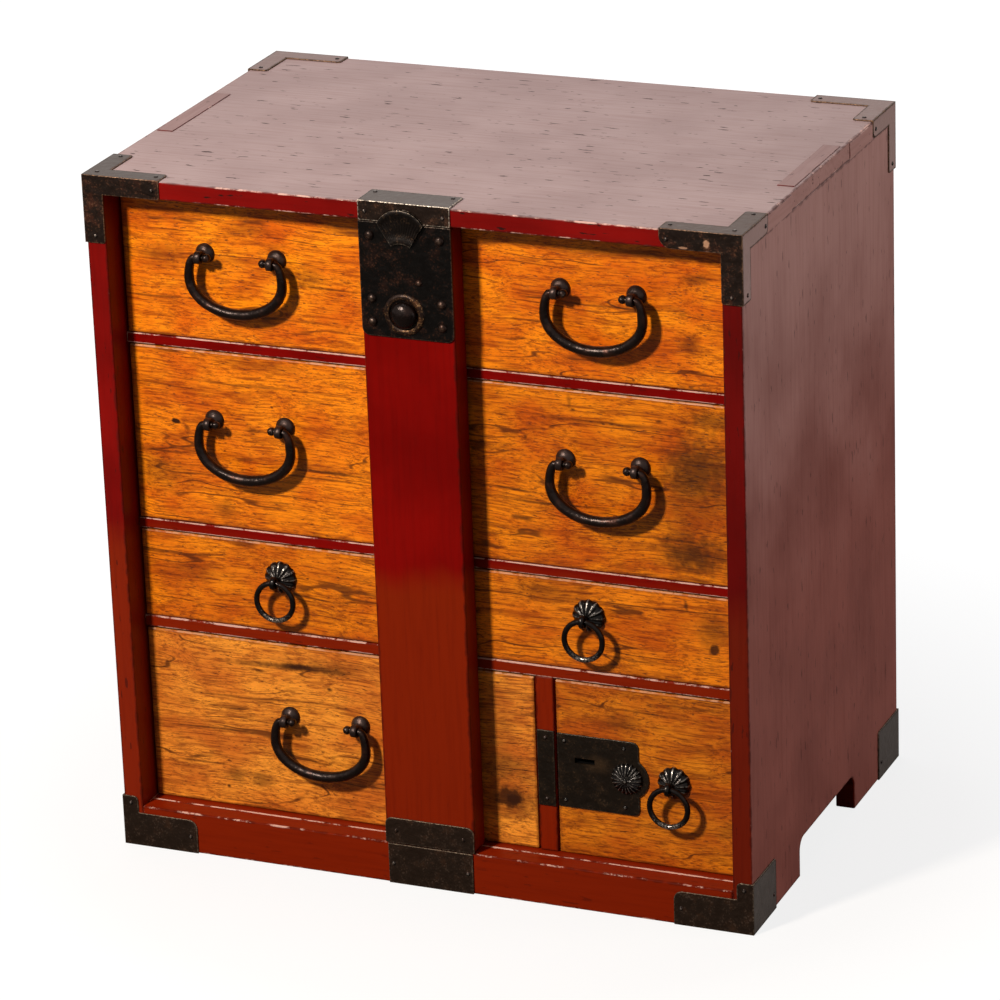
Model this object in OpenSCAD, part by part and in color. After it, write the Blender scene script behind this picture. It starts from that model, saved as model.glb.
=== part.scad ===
// Small locking-bar chest for jewellery: a lacquered case, eight wooden drawers,
// one upright bar that holds seven of them shut, and hand-forged ironwork.
// Sizes are millimetres. X is to the right, Y to the back and Z up from the floor.

/* [Case] */
// Width of the case across its front
case_w = 450; // [420:1:520]
// Depth of the case from its front edges to its back
case_d = 298; // [250:1:350]
// Thickness of each side board
side_t = 13.5; // [11:0.5:18]
// Thickness of the top board
top_t = 12; // [11:0.5:18]
// Height of the front rail, on which the lowest drawers stand
rail_h = 29; // [28:0.5:40]
// Thickness of the front rail
rail_t = 14; // [12:0.5:20]
// Thickness of the base board
base_t = 10; // [7:0.5:14]
// Thickness of the back panel
back_t = 8; // [5:0.5:12]
// Distance from the front edges of the case back to the faces of the drawers
recess = 21; // [20:0.5:28]
// How far the edges of the shelves stand in front of the drawer faces
shelf_lip = 0.5; // [0:0.1:1.5]
// Thickness of the four short shelves
shelf_t = 7; // [5:0.5:12]
// Thickness of the full-width deck over the lowest drawers
deck_t = 8; // [6:0.5:14]
// Thickness of the upright divider behind the bar
divider_t = 13; // [9:0.5:24]
// Thickness of the post between the wide drawer and the locking drawer
post_t = 12.5; // [11:0.5:18]

/* [Rows] */
// Clear height of the top row
row_1_h = 100; // [84:1:130]
// Clear height of the second row
row_2_h = 123; // [90:1:150]
// Clear height of the row of small drawers
row_3_h = 63; // [54:1:90]
// Clear height of the lowest row
row_4_h = 124; // [100:1:150]
// Clear width of the bay of the locking drawer
lock_bay_w = 129; // [122:1:146]

/* [Feet] */
// Length of each foot along the side boards
foot_l = 93; // [70:1:110]
// Height of the gap between the feet
foot_gap_h = 26; // [20:0.5:27]
// Radius in the upper corners of that gap
foot_gap_r = 8; // [4:0.5:14]

/* [Drawers] */
// Thickness of the drawer fronts
front_t = 12; // [11.5:0.5:16]
// Thickness of the drawer sides and backs
wall_t = 7; // [5:0.5:9]
// Thickness of the drawer bottoms
bottom_t = 5; // [4:0.5:8]
// Gap at each side of a drawer and above it
drawer_gap = 1.2; // [0.6:0.1:2]
// Gap under a drawer
drawer_seat = 0.4; // [0.2:0.1:0.8]
// Gap behind a drawer
drawer_end_gap = 4; // [2:0.5:10]
// How far the drawer sides stay below the top of the front
side_drop = 6; // [3:0.5:12]
// Glue line between boards, and between small parts that sit on each other
glue_line = 0.05; // [0.03:0.01:0.1]

/* [Locking bar] */
// Width of the bar
bar_w = 63.4; // [58:0.2:72]
// Thickness of the bar
bar_t = 17.5; // [17:0.5:18.5]
// Gap above and below the bar
bar_gap = 0.6; // [0.4:0.1:1]
// Radius of the two pins on the back of the bar, which enter the edge of the deck
bar_pin_r = 2; // [1.5:0.1:2.2]
// How far those pins stand out behind the bar
bar_pin_l = 14; // [8:0.5:20]
// Distance between those pins
bar_pin_gap = 36; // [24:1:44]

/* [Bar lock] */
// Height of the lock plate on the bar
lock_plate_h = 76; // [72:1:90]
// Place of the lock's middle, to the right of the bar's middle
lock_x = -2; // [-3:0.5:3]
// Height of the knob above the lower edge of the lock plate
knob_rise = 16; // [14.5:0.5:18]
// Radius of the knob's dome
knob_r = 8.8; // [7:0.1:9]
// Height of the knob's dome
knob_h = 5.6; // [4:0.1:7]
// Outer radius of the raised collar round the knob
collar_r = 12.5; // [11.5:0.1:13]
// Distance that the bolt rises into the top board
bolt_throw = 8; // [6:0.5:8.5]
// Width of the bolt
bolt_w = 14; // [10:0.5:16]
// Thickness of the bolt
bolt_t = 3.6; // [3:0.1:3.8]
// Radius of the crest's upper arc
crest_r = 18; // [15:0.5:18]

/* [Ironwork] */
// Thickness of the corner irons
iron_t = 1; // [0.6:0.1:1.6]
// Thickness of the lock plates and straps
plate_t = 1.2; // [0.8:0.1:2]
// Length of the corner irons along the front
iron_front_l = 54; // [40:1:66]
// Length of the corner irons along the sides
iron_side_l = 46; // [36:1:60]
// Height of the upright legs of the upper corner irons
iron_leg_h = 45; // [34:1:58]
// Width of those upright legs
iron_leg_w = 13.5; // [9:0.5:16]
// Height of the lower corner irons
iron_foot_h = 36; // [28:1:44]
// Radius of the nail heads
nail_r = 1.6; // [1.2:0.1:2.2]

/* [Drop handles] */
// Distance between the two posts of a drop handle
bail_span = 51; // [46:0.5:58]
// Widest distance between the middles of the handle's arms
bail_w = 66; // [62:0.5:72]
// Depth from the hinge pins to the middle of the handle's grip
bail_drop = 36.5; // [32:0.5:40]
// Distance from the drawer face out to the hinge pins
bail_out = 10; // [9.5:0.5:12]
// Radius of the grip at its middle
grip_r = 3.7; // [3:0.1:4.2]
// Radius of the hinge pins
bail_pin_r = 2; // [1.6:0.1:2.1]
// Gap round the hinge pins
bail_clear = 0.3; // [0.2:0.05:0.4]
// Radius of the domed seat of a post
seat_r = 6.8; // [5.5:0.1:7.5]

/* [Ring pulls] */
// Outer radius of a ring
ring_r = 15; // [13:0.1:16]
// Radius of the ring's wire
wire_r = 1.9; // [1.4:0.05:2.1]
// Radius of the fluted rosettes
rosette_r = 11.3; // [10:0.1:12]
// Height of the fluted rosettes
rosette_h = 6.4; // [5:0.1:7]
// Number of petals of a rosette
petals = 12; // [8:1:16]
// Number of finer flutes of the boss on the drawer lock
boss_flutes = 20; // [14:1:24]
// Distance from the drawer face out to the ring
ring_out = 11.5; // [11:0.5:13]

/* [Hidden] */
$fn = 48;

// Colours of the lacquer, woods and iron
red = "#7d1210";
honey = "#c9791f";
pale = "#c8a468";
iron = "#2e2724";
lacquered_iron = "#5a2a26";

// Levels of the boards, from the floor up
row_floor_4 = rail_h;
deck_z = row_floor_4 + row_4_h;
row_floor_3 = deck_z + deck_t;
lower_shelf_z = row_floor_3 + row_3_h;
row_floor_2 = lower_shelf_z + shelf_t;
upper_shelf_z = row_floor_2 + row_2_h;
row_floor_1 = upper_shelf_z + shelf_t;
ceiling_z = row_floor_1 + row_1_h;
case_h = ceiling_z + top_t;

// The knob stands furthest to the front and the irons furthest to the back.
// The origin is under the middle of the whole chest, those included.
collar_h = 1.4;
collar_w = 2.2;
front_reach = plate_t + collar_h + knob_h;
front_y = -case_d / 2 + (front_reach - iron_t) / 2;
back_y = front_y + case_d;
inner_back_y = back_y - back_t;
face_y = front_y + recess;
shelf_y = face_y - shelf_lip;
outer_x = case_w / 2;
inner_x = outer_x - side_t;
post_right_x = inner_x - lock_bay_w;
post_left_x = post_right_x - post_t;

// Each bay: its left and right limits, its floor and its clear height
TOP_LEFT = [-inner_x, -divider_t / 2, row_floor_1, row_1_h];
TOP_RIGHT = [divider_t / 2, inner_x, row_floor_1, row_1_h];
SECOND_LEFT = [-inner_x, -divider_t / 2, row_floor_2, row_2_h];
SECOND_RIGHT = [divider_t / 2, inner_x, row_floor_2, row_2_h];
SMALL_LEFT = [-inner_x, -divider_t / 2, row_floor_3, row_3_h];
SMALL_RIGHT = [divider_t / 2, inner_x, row_floor_3, row_3_h];
WIDE = [-inner_x, post_left_x, row_floor_4, row_4_h];
LOCK = [post_right_x, inner_x, row_floor_4, row_4_h];

function bay_mid_x(bay) = (bay[0] + bay[1]) / 2;
function bay_mid_z(bay) = bay[2] + bay[3] / 2;

// Places of the handles. The drop handles of the upper rows sit in the middle of
// what the bar leaves open, and the left ones a little further out.
shown_mid_x = (bar_w / 2 + inner_x) / 2;
left_bail_shift = 4;
wide_bail_shift = -11;
top_bail_rise = 9.5;
second_bail_rise = 13.5;
wide_bail_rise = 9.5;
TOP_LEFT_PULL = [-shown_mid_x - left_bail_shift, bay_mid_z(TOP_LEFT) + top_bail_rise];
TOP_RIGHT_PULL = [shown_mid_x, bay_mid_z(TOP_RIGHT) + top_bail_rise];
SECOND_LEFT_PULL = [-shown_mid_x - left_bail_shift, bay_mid_z(SECOND_LEFT) + second_bail_rise];
SECOND_RIGHT_PULL = [shown_mid_x, bay_mid_z(SECOND_RIGHT) + second_bail_rise];
WIDE_PULL = [bay_mid_x(WIDE) + wide_bail_shift, bay_mid_z(WIDE) + wide_bail_rise];
small_ring_rise = 7.5;
lock_ring_shift = 18;
lock_ring_rise = -1;
SMALL_LEFT_PULL = [bay_mid_x(SMALL_LEFT), bay_mid_z(SMALL_LEFT) + small_ring_rise];
SMALL_RIGHT_PULL = [bay_mid_x(SMALL_RIGHT), bay_mid_z(SMALL_RIGHT) + small_ring_rise];
LOCK_PULL = [bay_mid_x(LOCK) + lock_ring_shift, bay_mid_z(LOCK) + lock_ring_rise];

// How far cutting shapes reach past what they cut
cut = 1;

// Corner irons, straps and nails
iron_round_r = 5;
foot_leg_w = iron_leg_w - 3;
foot_plate_drop = 12;
foot_plate_h = iron_foot_h - foot_plate_drop;
foot_side_l = iron_side_l - 3;
strap_t = iron_t * 0.6;
strap_edge = 2;
top_strap_l = 90;
side_strap_l = 46;
keeper_reach = 22;
keeper_side_play = 0.2;
crest_play = 0.7;
rail_plate_inset = 1.5;
nail_inset = 5;
nail_h = nail_r * 0.5;

// Shanks of posts and rosettes, the holes for them and their clinched ends
shank_r = 1.6;
shank_clear = 0.15;
clinch_l = 12;
clinch_t = 1.4;

// Hinge of the drop handles
eye_w = 4.5;
eye_r = 4.3;
neck_r = 2.6;
seat_h = 4;
button_r = 2.9;
bail_end_r = bail_pin_r + 0.3;
bail_shoulder = eye_w / 2 + 0.65;
arm_drop = 14;
bail_rings = 26;
bail_sides = 10;

// Hinge of the ring pulls
ring_mid_r = ring_r - wire_r;
ring_eye_w = 3.4;
ring_eye_bore = wire_r + 0.55;
ring_eye_r = ring_eye_bore + 2;
rosette_flat = 2.8;
collar_neck_r = shank_r + 0.8;

// Bar lock: lock plate, crest, knob and the works let into the back of the bar
bar_top_z = ceiling_z - bar_gap;
bar_foot_z = rail_h + bar_gap;
bar_pin_z = deck_z + deck_t / 2;
bar_pin_seat = 8;
lock_plate_z = bar_top_z - lock_plate_h;
knob_z = lock_plate_z + knob_rise;
bar_foot_plate_h = 18;
stud_r = 3.2;
stud_h = 2.3;
stud_inset = 7.7;
top_stud_drop = 9;
middle_stud_rise = 25;
low_stud_rise = 9.5;
small_stud_shift = 11;
spindle_r = 3;
fit = 0.3;
skin_t = 8.2;
lock_case_w = 40;
lock_case_h = 52;
seat_play = 0.1;
lock_case_t = bar_t - skin_t - 2 * seat_play;
lock_case_drop = 14;
lock_case_z = knob_z - lock_case_drop;
sheet_t = 1.2;
crank_r = 8;
crank_t = 1.8;
crank_y = front_y + skin_t + sheet_t + fit;
bolt_y = crank_y + crank_t + fit;
throw_r = bolt_throw / sqrt(2);
crank_pin_r = 1.5;
slot_play = 0.4;
tail_w = 24;
tail_h = 16;
bolt_foot_z = knob_z - bolt_throw / 2 - 7;
bolt_top_z = bar_top_z - slot_play;
mortise_h = bolt_throw + 1;
crest_top = 9.5;
crest_t = 2.4;
crest_mid_z = bar_top_z + crest_top - crest_r;
crest_point_drop = 24.5;
crest_point_z = bar_top_z - crest_point_drop;
crest_eye_r = 12;
crest_half_w = 15.5;

// Drawer lock: plate, boss, keyhole and bolt
plate_edge_gap = 0.6;
drawer_plate_w = 56.5;
drawer_plate_h = 52;
drawer_plate_x = post_right_x + drawer_gap + plate_edge_gap;
drawer_plate_z = bay_mid_z(LOCK) - 2;
boss_reach = 48.5;
boss_x = drawer_plate_x + boss_reach;
boss_r = 10.9;
boss_h = 4.6;
boss_flat = 2.4;
boss_ball_r = 1.9;
plate_round_r = 4;
lobe_r = 14.8;
keyhole_reach = 19;
keyhole_x = drawer_plate_x + keyhole_reach;
keyhole_w = 14;
keyhole_h = 3.8;
keyhole_z = drawer_plate_z + 8;
pocket_t = 8.5;
small_case_w = 36;
small_case_h = 34;
small_case_t = 8.2;
small_case_x = post_right_x + drawer_gap + 12;
small_bolt_throw = 8;
small_bolt_h = 10;
small_bolt_t = 3.2;
small_bolt_l = 30;
small_bolt_y = face_y + front_t - pocket_t + 2 * sheet_t;
small_bolt_z = drawer_plate_z;
small_bolt_x = post_right_x + drawer_gap + slot_play;
strike_h = 53.5;

// A box from its two limits along each axis
module block(x, y, z) {
    translate([x[0], y[0], z[0]])
        cube([x[1] - x[0], y[1] - y[0], z[1] - z[0]]);
}

// A plate drawn in X and Z, standing on the plane y and reaching t to the front
module facing(y, t) {
    translate([0, y, 0])
        rotate([90, 0, 0])
            linear_extrude(t)
                children();
}

// A solid drawn along +Z, turned to stand out to the front from a point
module outward(x, y, z) {
    translate([x, y, z])
        rotate([90, 0, 0])
            children();
}

// A shallow dome on the plane z = 0
module dome(r, h) {
    ball_r = (r * r + h * h) / (2 * h);
    intersection() {
        translate([0, 0, h - ball_r])
            sphere(ball_r);
        cylinder(h = h + cut, r = r + cut);
    }
}

// A rectangle in X and Z with its four corners rounded
module rounded_plate(x, z, r) {
    hull() {
        for (px = [x[0] + r, x[1] - r])
            for (pz = [z[0] + r, z[1] - r])
                translate([px, pz])
                    circle(r);
    }
}

// A rectangle in X and Z with its lower or its upper two corners rounded
module half_rounded_plate(x, z, r, lower) {
    intersection() {
        rounded_plate(x, lower ? [z[0], z[1] + r] : [z[0] - r, z[1]], r);
        translate([x[0], z[0]])
            square([x[1] - x[0], z[1] - z[0]]);
    }
}

// Boards of the case

module side_board() {
    gap_y0 = front_y + foot_l;
    gap_y1 = back_y - foot_l;
    difference() {
        block([inner_x, outer_x], [front_y, back_y], [0, ceiling_z]);
        block([inner_x - cut, outer_x + cut], [gap_y0, gap_y1], [-cut, foot_gap_h - foot_gap_r]);
        block([inner_x - cut, outer_x + cut],
              [gap_y0 + foot_gap_r, gap_y1 - foot_gap_r],
              [-cut, foot_gap_h]);
        for (y = [gap_y0 + foot_gap_r, gap_y1 - foot_gap_r])
            translate([inner_x - cut, y, foot_gap_h - foot_gap_r])
                rotate([0, 90, 0])
                    cylinder(h = side_t + 2 * cut, r = foot_gap_r);
    }
}

module left_side() {
    color(red)
        mirror([1, 0, 0])
            side_board();
}

module right_side() {
    color(red)
        side_board();
}

module top_board() {
    color(red)
        difference() {
            block([-outer_x, outer_x], [front_y, back_y], [ceiling_z, case_h]);
            block([lock_x - bolt_w / 2 - fit, lock_x + bolt_w / 2 + fit],
                  [bolt_y - fit, bolt_y + bolt_t + fit],
                  [ceiling_z - cut, ceiling_z + mortise_h]);
        }
}

module front_rail() {
    color(red)
        block([-inner_x, inner_x], [front_y, front_y + rail_t], [0, rail_h]);
}

module base_board() {
    color(red)
        block([-inner_x, inner_x], [front_y + rail_t, inner_back_y], [rail_h - base_t, rail_h]);
}

module back_panel() {
    color(red)
        block([-inner_x, inner_x], [inner_back_y, back_y], [0, ceiling_z]);
}

module divider() {
    color(red)
        block([-divider_t / 2, divider_t / 2], [shelf_y, inner_back_y], [row_floor_3, ceiling_z]);
}

// Deck with blind holes for the pins of the bar
module deck() {
    hole_l = front_y + bar_t + bar_pin_l + fit - shelf_y;
    color(red)
        difference() {
            block([-inner_x, inner_x], [shelf_y, inner_back_y], [deck_z, deck_z + deck_t]);
            for (x = [-bar_pin_gap / 2, bar_pin_gap / 2])
                outward(x, shelf_y + hole_l, bar_pin_z)
                    cylinder(h = hole_l + cut, r = bar_pin_r + fit);
        }
}

module shelves() {
    color(red)
        for (z = [lower_shelf_z, upper_shelf_z])
            for (x = [[-inner_x, -divider_t / 2], [divider_t / 2, inner_x]])
                block(x, [shelf_y, inner_back_y], [z, z + shelf_t]);
}

module bay_post() {
    color(red)
        difference() {
            block([post_left_x, post_right_x], [shelf_y, inner_back_y], [rail_h, deck_z]);
            block([post_right_x - small_bolt_throw, post_right_x + cut],
                  [small_bolt_y - fit, small_bolt_y + small_bolt_t + fit],
                  [small_bolt_z - small_bolt_h / 2 - fit, small_bolt_z + small_bolt_h / 2 + fit]);
        }
}

// Ironwork of the case

// Upper right front corner: one bent sheet over three faces
module upper_corner() {
    end_x = outer_x - iron_front_l;
    leg_x = outer_x - iron_leg_w;
    over_x = outer_x + iron_t;
    over_y = front_y - iron_t;
    over_z = case_h + iron_t;
    block([end_x, over_x], [over_y, front_y], [ceiling_z, over_z]);
    block([leg_x, over_x], [over_y, front_y], [case_h - iron_leg_h, over_z]);
    block([end_x, over_x], [over_y, front_y + iron_leg_w], [case_h, over_z]);
    block([leg_x, over_x], [over_y, front_y + iron_side_l], [case_h, over_z]);
    block([outer_x, over_x], [over_y, front_y + iron_side_l], [ceiling_z, over_z]);
    block([outer_x, over_x], [over_y, front_y + iron_leg_w], [case_h - iron_leg_h, over_z]);
}

// Lower right front corner: it wraps the front and the side only
module lower_corner() {
    end_x = outer_x - iron_front_l;
    over_x = outer_x + iron_t;
    over_y = front_y - iron_t;
    facing(front_y, iron_t)
        half_rounded_plate([end_x, outer_x], [0, foot_plate_h], iron_round_r, false);
    block([outer_x - foot_leg_w, over_x], [over_y, front_y], [0, iron_foot_h]);
    block([outer_x, over_x], [over_y, front_y + foot_side_l], [0, iron_foot_h]);
}

// The same irons at the four corners: mirrored to the left and to the back
module at_corners() {
    for (side = [0, 1])
        mirror([side, 0, 0]) {
            children();
            translate([0, front_y + back_y, 0])
                mirror([0, 1, 0])
                    children();
        }
}

module corner_irons() {
    color(iron)
        at_corners() {
            upper_corner();
            lower_corner();
        }
}

// Straps under the lacquer, along the side edges of the top
module edge_straps() {
    mid_y = (front_y + back_y) / 2;
    color(lacquered_iron)
        for (side = [0, 1])
            mirror([side, 0, 0]) {
                block([outer_x - iron_leg_w, outer_x - strap_edge],
                      [mid_y - top_strap_l / 2, mid_y + top_strap_l / 2],
                      [case_h, case_h + strap_t]);
                for (y = [front_y + iron_side_l, back_y - iron_side_l - side_strap_l])
                    block([outer_x, outer_x + strap_t],
                          [y, y + side_strap_l],
                          [ceiling_z, case_h - strap_edge / 2]);
            }
}

// The iron over the edge of the top board, notched round the crest
module keeper_strap() {
    half_w = bar_w / 2 - keeper_side_play;
    over_z = case_h + plate_t;
    color(iron)
        difference() {
            union() {
                block([-half_w, half_w], [front_y - plate_t, front_y], [ceiling_z, over_z]);
                block([-half_w, half_w], [front_y - plate_t, front_y + keeper_reach], [case_h, over_z]);
            }
            outward(lock_x, front_y + cut, crest_mid_z)
                cylinder(h = plate_t + 2 * cut, r = crest_r + crest_play);
        }
}

module rail_plate() {
    color(iron)
        block([rail_plate_inset - bar_w / 2, bar_w / 2 - rail_plate_inset],
              [front_y - plate_t, front_y],
              [0, rail_h - fit]);
}

module strike_plate() {
    color(iron)
        block([post_left_x + fit, post_right_x - fit],
              [shelf_y - plate_t, shelf_y],
              [drawer_plate_z - strike_h / 2, drawer_plate_z + strike_h / 2]);
}

module nail_head() {
    dome(nail_r, nail_h);
}

// Nails of one front corner: front, top and side legs, and the foot iron
module corner_nails() {
    end_x = outer_x - iron_front_l + nail_inset;
    leg_x = outer_x - iron_leg_w / 2;
    for (p = [[end_x, case_h - top_t / 2],
              [leg_x, case_h - iron_leg_h + nail_inset],
              [end_x, foot_plate_h / 2],
              [outer_x - foot_leg_w / 2, iron_foot_h - nail_inset]])
        outward(p[0], front_y - iron_t, p[1])
            nail_head();
    for (p = [[end_x, front_y + iron_leg_w / 2],
              [leg_x, front_y + iron_side_l - nail_inset],
              [leg_x, front_y + iron_leg_w / 2]])
        translate([p[0], p[1], case_h + iron_t])
            nail_head();
    for (p = side_nails())
        translate([outer_x + iron_t, front_y + p[0], p[1]])
            rotate([0, 90, 0])
                nail_head();
}

// Nails of one back corner: top and side legs, and the foot iron
module back_corner_nails() {
    for (p = [[outer_x - iron_front_l + nail_inset, back_y - iron_leg_w / 2],
              [outer_x - iron_leg_w / 2, back_y - iron_side_l + nail_inset]])
        translate([p[0], p[1], case_h + iron_t])
            nail_head();
    for (p = side_nails())
        translate([outer_x + iron_t, back_y - p[0], p[1]])
            rotate([0, 90, 0])
                nail_head();
}

// Nails on the side legs: how far from the front or back, and how high
function side_nails() = [
    [iron_side_l - nail_inset, case_h - top_t / 2],
    [iron_leg_w / 2, case_h - iron_leg_h + nail_inset],
    [foot_side_l - nail_inset, foot_plate_h / 2]
];

module keeper_nails() {
    for (x = [nail_inset - bar_w / 2, bar_w / 2 - nail_inset]) {
        outward(x, front_y - plate_t, case_h - top_t / 2)
            nail_head();
        translate([x, front_y + keeper_reach - nail_inset, case_h + plate_t])
            nail_head();
        outward(x, front_y - plate_t, rail_h / 2)
            nail_head();
    }
    strike_nail = strike_h / 2 - nail_inset;
    for (z = [drawer_plate_z - strike_nail, drawer_plate_z + strike_nail])
        outward((post_left_x + post_right_x) / 2, shelf_y - plate_t, z)
            nail_head();
}

module case_nails() {
    color(iron) {
        for (side = [0, 1])
            mirror([side, 0, 0]) {
                corner_nails();
                back_corner_nails();
            }
        keeper_nails();
    }
}

// The locking bar and its lock

module locking_bar() {
    pocket_x = lock_case_w / 2 + fit;
    bolt_x = bolt_w / 2 + fit;
    color(red)
        difference() {
            block([-bar_w / 2, bar_w / 2], [front_y, front_y + bar_t], [bar_foot_z, bar_top_z]);
            block([lock_x - pocket_x, lock_x + pocket_x],
                  [front_y + skin_t, front_y + bar_t + cut],
                  [lock_case_z - fit, lock_case_z + lock_case_h + fit]);
            block([lock_x - bolt_x, lock_x + bolt_x],
                  [bolt_y - fit, bolt_y + bolt_t + fit],
                  [lock_case_z, bar_top_z + cut]);
            outward(lock_x, front_y + skin_t + cut, knob_z)
                cylinder(h = skin_t + 2 * cut, r = spindle_r + fit);
            for (x = [-bar_pin_gap / 2, bar_pin_gap / 2])
                outward(x, front_y + bar_t + cut, bar_pin_z)
                    cylinder(h = bar_pin_seat + cut, r = bar_pin_r + glue_line);
        }
}

module bar_pins() {
    color(iron)
        for (x = [-bar_pin_gap / 2, bar_pin_gap / 2])
            outward(x, front_y + bar_t + bar_pin_l, bar_pin_z)
                cylinder(h = bar_pin_l + bar_pin_seat, r = bar_pin_r);
}

// Lock plate with its lower corners rounded and a raised collar round the knob
module bar_lock_plate() {
    color(iron)
        difference() {
            union() {
                facing(front_y, plate_t)
                    half_rounded_plate([-bar_w / 2, bar_w / 2],
                                       [lock_plate_z, bar_top_z],
                                       iron_round_r,
                                       true);
                outward(lock_x, front_y - plate_t / 2, knob_z)
                    cylinder(h = plate_t / 2 + collar_h, r = collar_r);
            }
            outward(lock_x, front_y - plate_t, knob_z)
                cylinder(h = collar_h + cut, r = collar_r - collar_w);
            outward(lock_x, front_y + cut, knob_z)
                cylinder(h = plate_t + 2 * cut, r = spindle_r + fit);
        }
}

// Fan-shaped crest plate: a wide arc above, straight sides and a small arc below
module bar_crest() {
    reach = crest_half_w * 2;
    rise = (bar_top_z - crest_point_z) * 2;
    color(iron)
        facing(front_y - plate_t, crest_t)
            difference() {
                intersection() {
                    translate([lock_x, crest_mid_z])
                        circle(crest_r);
                    polygon([[lock_x, crest_point_z],
                             [lock_x + reach, crest_point_z + rise],
                             [lock_x - reach, crest_point_z + rise]]);
                }
                translate([lock_x, crest_point_z])
                    circle(crest_eye_r);
            }
}

module bar_foot_plate() {
    plate_z = [bar_foot_z, bar_foot_z + bar_foot_plate_h];
    color(iron)
        facing(front_y, plate_t)
            half_rounded_plate([-bar_w / 2, bar_w / 2], plate_z, iron_round_r, false);
}

module bar_studs() {
    stud_x = bar_w / 2 - stud_inset;
    color(iron) {
        for (x = [-stud_x, stud_x])
            for (z = [bar_top_z - top_stud_drop,
                      lock_plate_z + middle_stud_rise,
                      lock_plate_z + low_stud_rise])
                outward(x, front_y - plate_t, z)
                    dome(stud_r, stud_h);
        outward(lock_x + small_stud_shift, front_y - plate_t, lock_plate_z + lock_plate_h / 2)
            dome(stud_r * 0.7, stud_h * 0.7);
        for (x = [-stud_x, stud_x])
            outward(x, front_y - plate_t, bar_foot_z + bar_foot_plate_h / 2)
                nail_head();
    }
}

// Iron box of the bar lock, open for the spindle in front and the bolt above
module bar_lock_case() {
    x0 = lock_x - lock_case_w / 2;
    x1 = lock_x + lock_case_w / 2;
    y0 = front_y + skin_t + seat_play;
    z1 = lock_case_z + lock_case_h;
    color(iron)
        difference() {
            block([x0, x1], [y0, y0 + lock_case_t], [lock_case_z, z1]);
            block([x0 + sheet_t, x1 - sheet_t],
                  [y0 + sheet_t, y0 + lock_case_t - sheet_t],
                  [lock_case_z + sheet_t, z1 - sheet_t]);
            block([lock_x - bolt_w / 2 - fit, lock_x + bolt_w / 2 + fit],
                  [bolt_y - fit, bolt_y + bolt_t + fit],
                  [z1 - sheet_t - cut, z1 + cut]);
            outward(lock_x, y0 + sheet_t + cut / 2, knob_z)
                cylinder(h = sheet_t + 2 * cut, r = spindle_r + fit);
        }
}

// Knob, spindle, crank disc and crank pin in one turning piece
module bar_knob() {
    knob_y = front_y - plate_t - fit;
    pin_x = lock_x + throw_r * cos(45);
    pin_z = knob_z - throw_r * sin(45);
    color(iron) {
        outward(lock_x, knob_y, knob_z) {
            cylinder(h = collar_h, r = knob_r);
            translate([0, 0, collar_h])
                dome(knob_r, knob_h - fit);
        }
        outward(lock_x, crank_y + crank_t / 2, knob_z)
            cylinder(h = crank_y + crank_t / 2 - knob_y + collar_h / 2, r = spindle_r);
        outward(lock_x, crank_y + crank_t, knob_z)
            cylinder(h = crank_t, r = crank_r);
        outward(pin_x, bolt_y + bolt_t + seat_play, pin_z)
            cylinder(h = bolt_t + crank_t, r = crank_pin_r);
    }
}

// Bolt: a narrow stem above a wide tail with the slot of the crank pin
module bar_bolt() {
    slot_x0 = lock_x + throw_r * cos(45) - crank_pin_r - slot_play;
    slot_x1 = lock_x + throw_r + crank_pin_r + slot_play;
    slot_z = knob_z - bolt_throw / 2;
    slot_h = crank_pin_r + slot_play;
    color(iron)
        difference() {
            union() {
                block([lock_x - bolt_w / 2, lock_x + bolt_w / 2],
                      [bolt_y, bolt_y + bolt_t],
                      [bolt_foot_z, bolt_top_z]);
                block([lock_x - tail_w / 2, lock_x + tail_w / 2],
                      [bolt_y, bolt_y + bolt_t],
                      [bolt_foot_z, bolt_foot_z + tail_h]);
            }
            block([slot_x0, slot_x1],
                  [bolt_y - cut, bolt_y + bolt_t + cut],
                  [slot_z - slot_h, slot_z + slot_h]);
        }
}

// Drawers

function left_of(bay) = bay[0] + drawer_gap;
function right_of(bay) = bay[1] - drawer_gap;
function low_of(bay) = bay[2] + drawer_seat;
function top_of(bay) = bay[2] + bay[3] - drawer_gap;

// A drawer front with holes for shanks at the given places
module drawer_front(bay, holes) {
    difference() {
        block([left_of(bay), right_of(bay)], [face_y, face_y + front_t], [low_of(bay), top_of(bay)]);
        for (p = holes)
            outward(p[0], face_y + front_t + cut, p[1])
                cylinder(h = front_t + 2 * cut, r = shank_r + shank_clear);
    }
}

// Two sides, a back and a bottom, a glue line apart
module drawer_box(bay) {
    x0 = left_of(bay);
    x1 = right_of(bay);
    in_x0 = x0 + wall_t + glue_line;
    in_x1 = x1 - wall_t - glue_line;
    y0 = face_y + front_t;
    y1 = inner_back_y - drawer_end_gap;
    z0 = low_of(bay);
    z1 = top_of(bay) - side_drop;
    color(pale) {
        block([x0, x0 + wall_t], [y0, y1], [z0, z1]);
        block([x1 - wall_t, x1], [y0, y1], [z0, z1]);
        block([in_x0, in_x1], [y1 - wall_t, y1], [z0, z1]);
        block([in_x0, in_x1], [y0, y1 - wall_t - glue_line], [z0, z0 + bottom_t]);
    }
}

function bail_holes(pull) = [[pull[0] - bail_span / 2, pull[1]], [pull[0] + bail_span / 2, pull[1]]];

module bail_front(bay, pull) {
    color(honey)
        drawer_front(bay, bail_holes(pull));
}

module ring_front(bay, pull) {
    color(honey)
        drawer_front(bay, [pull]);
}

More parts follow.
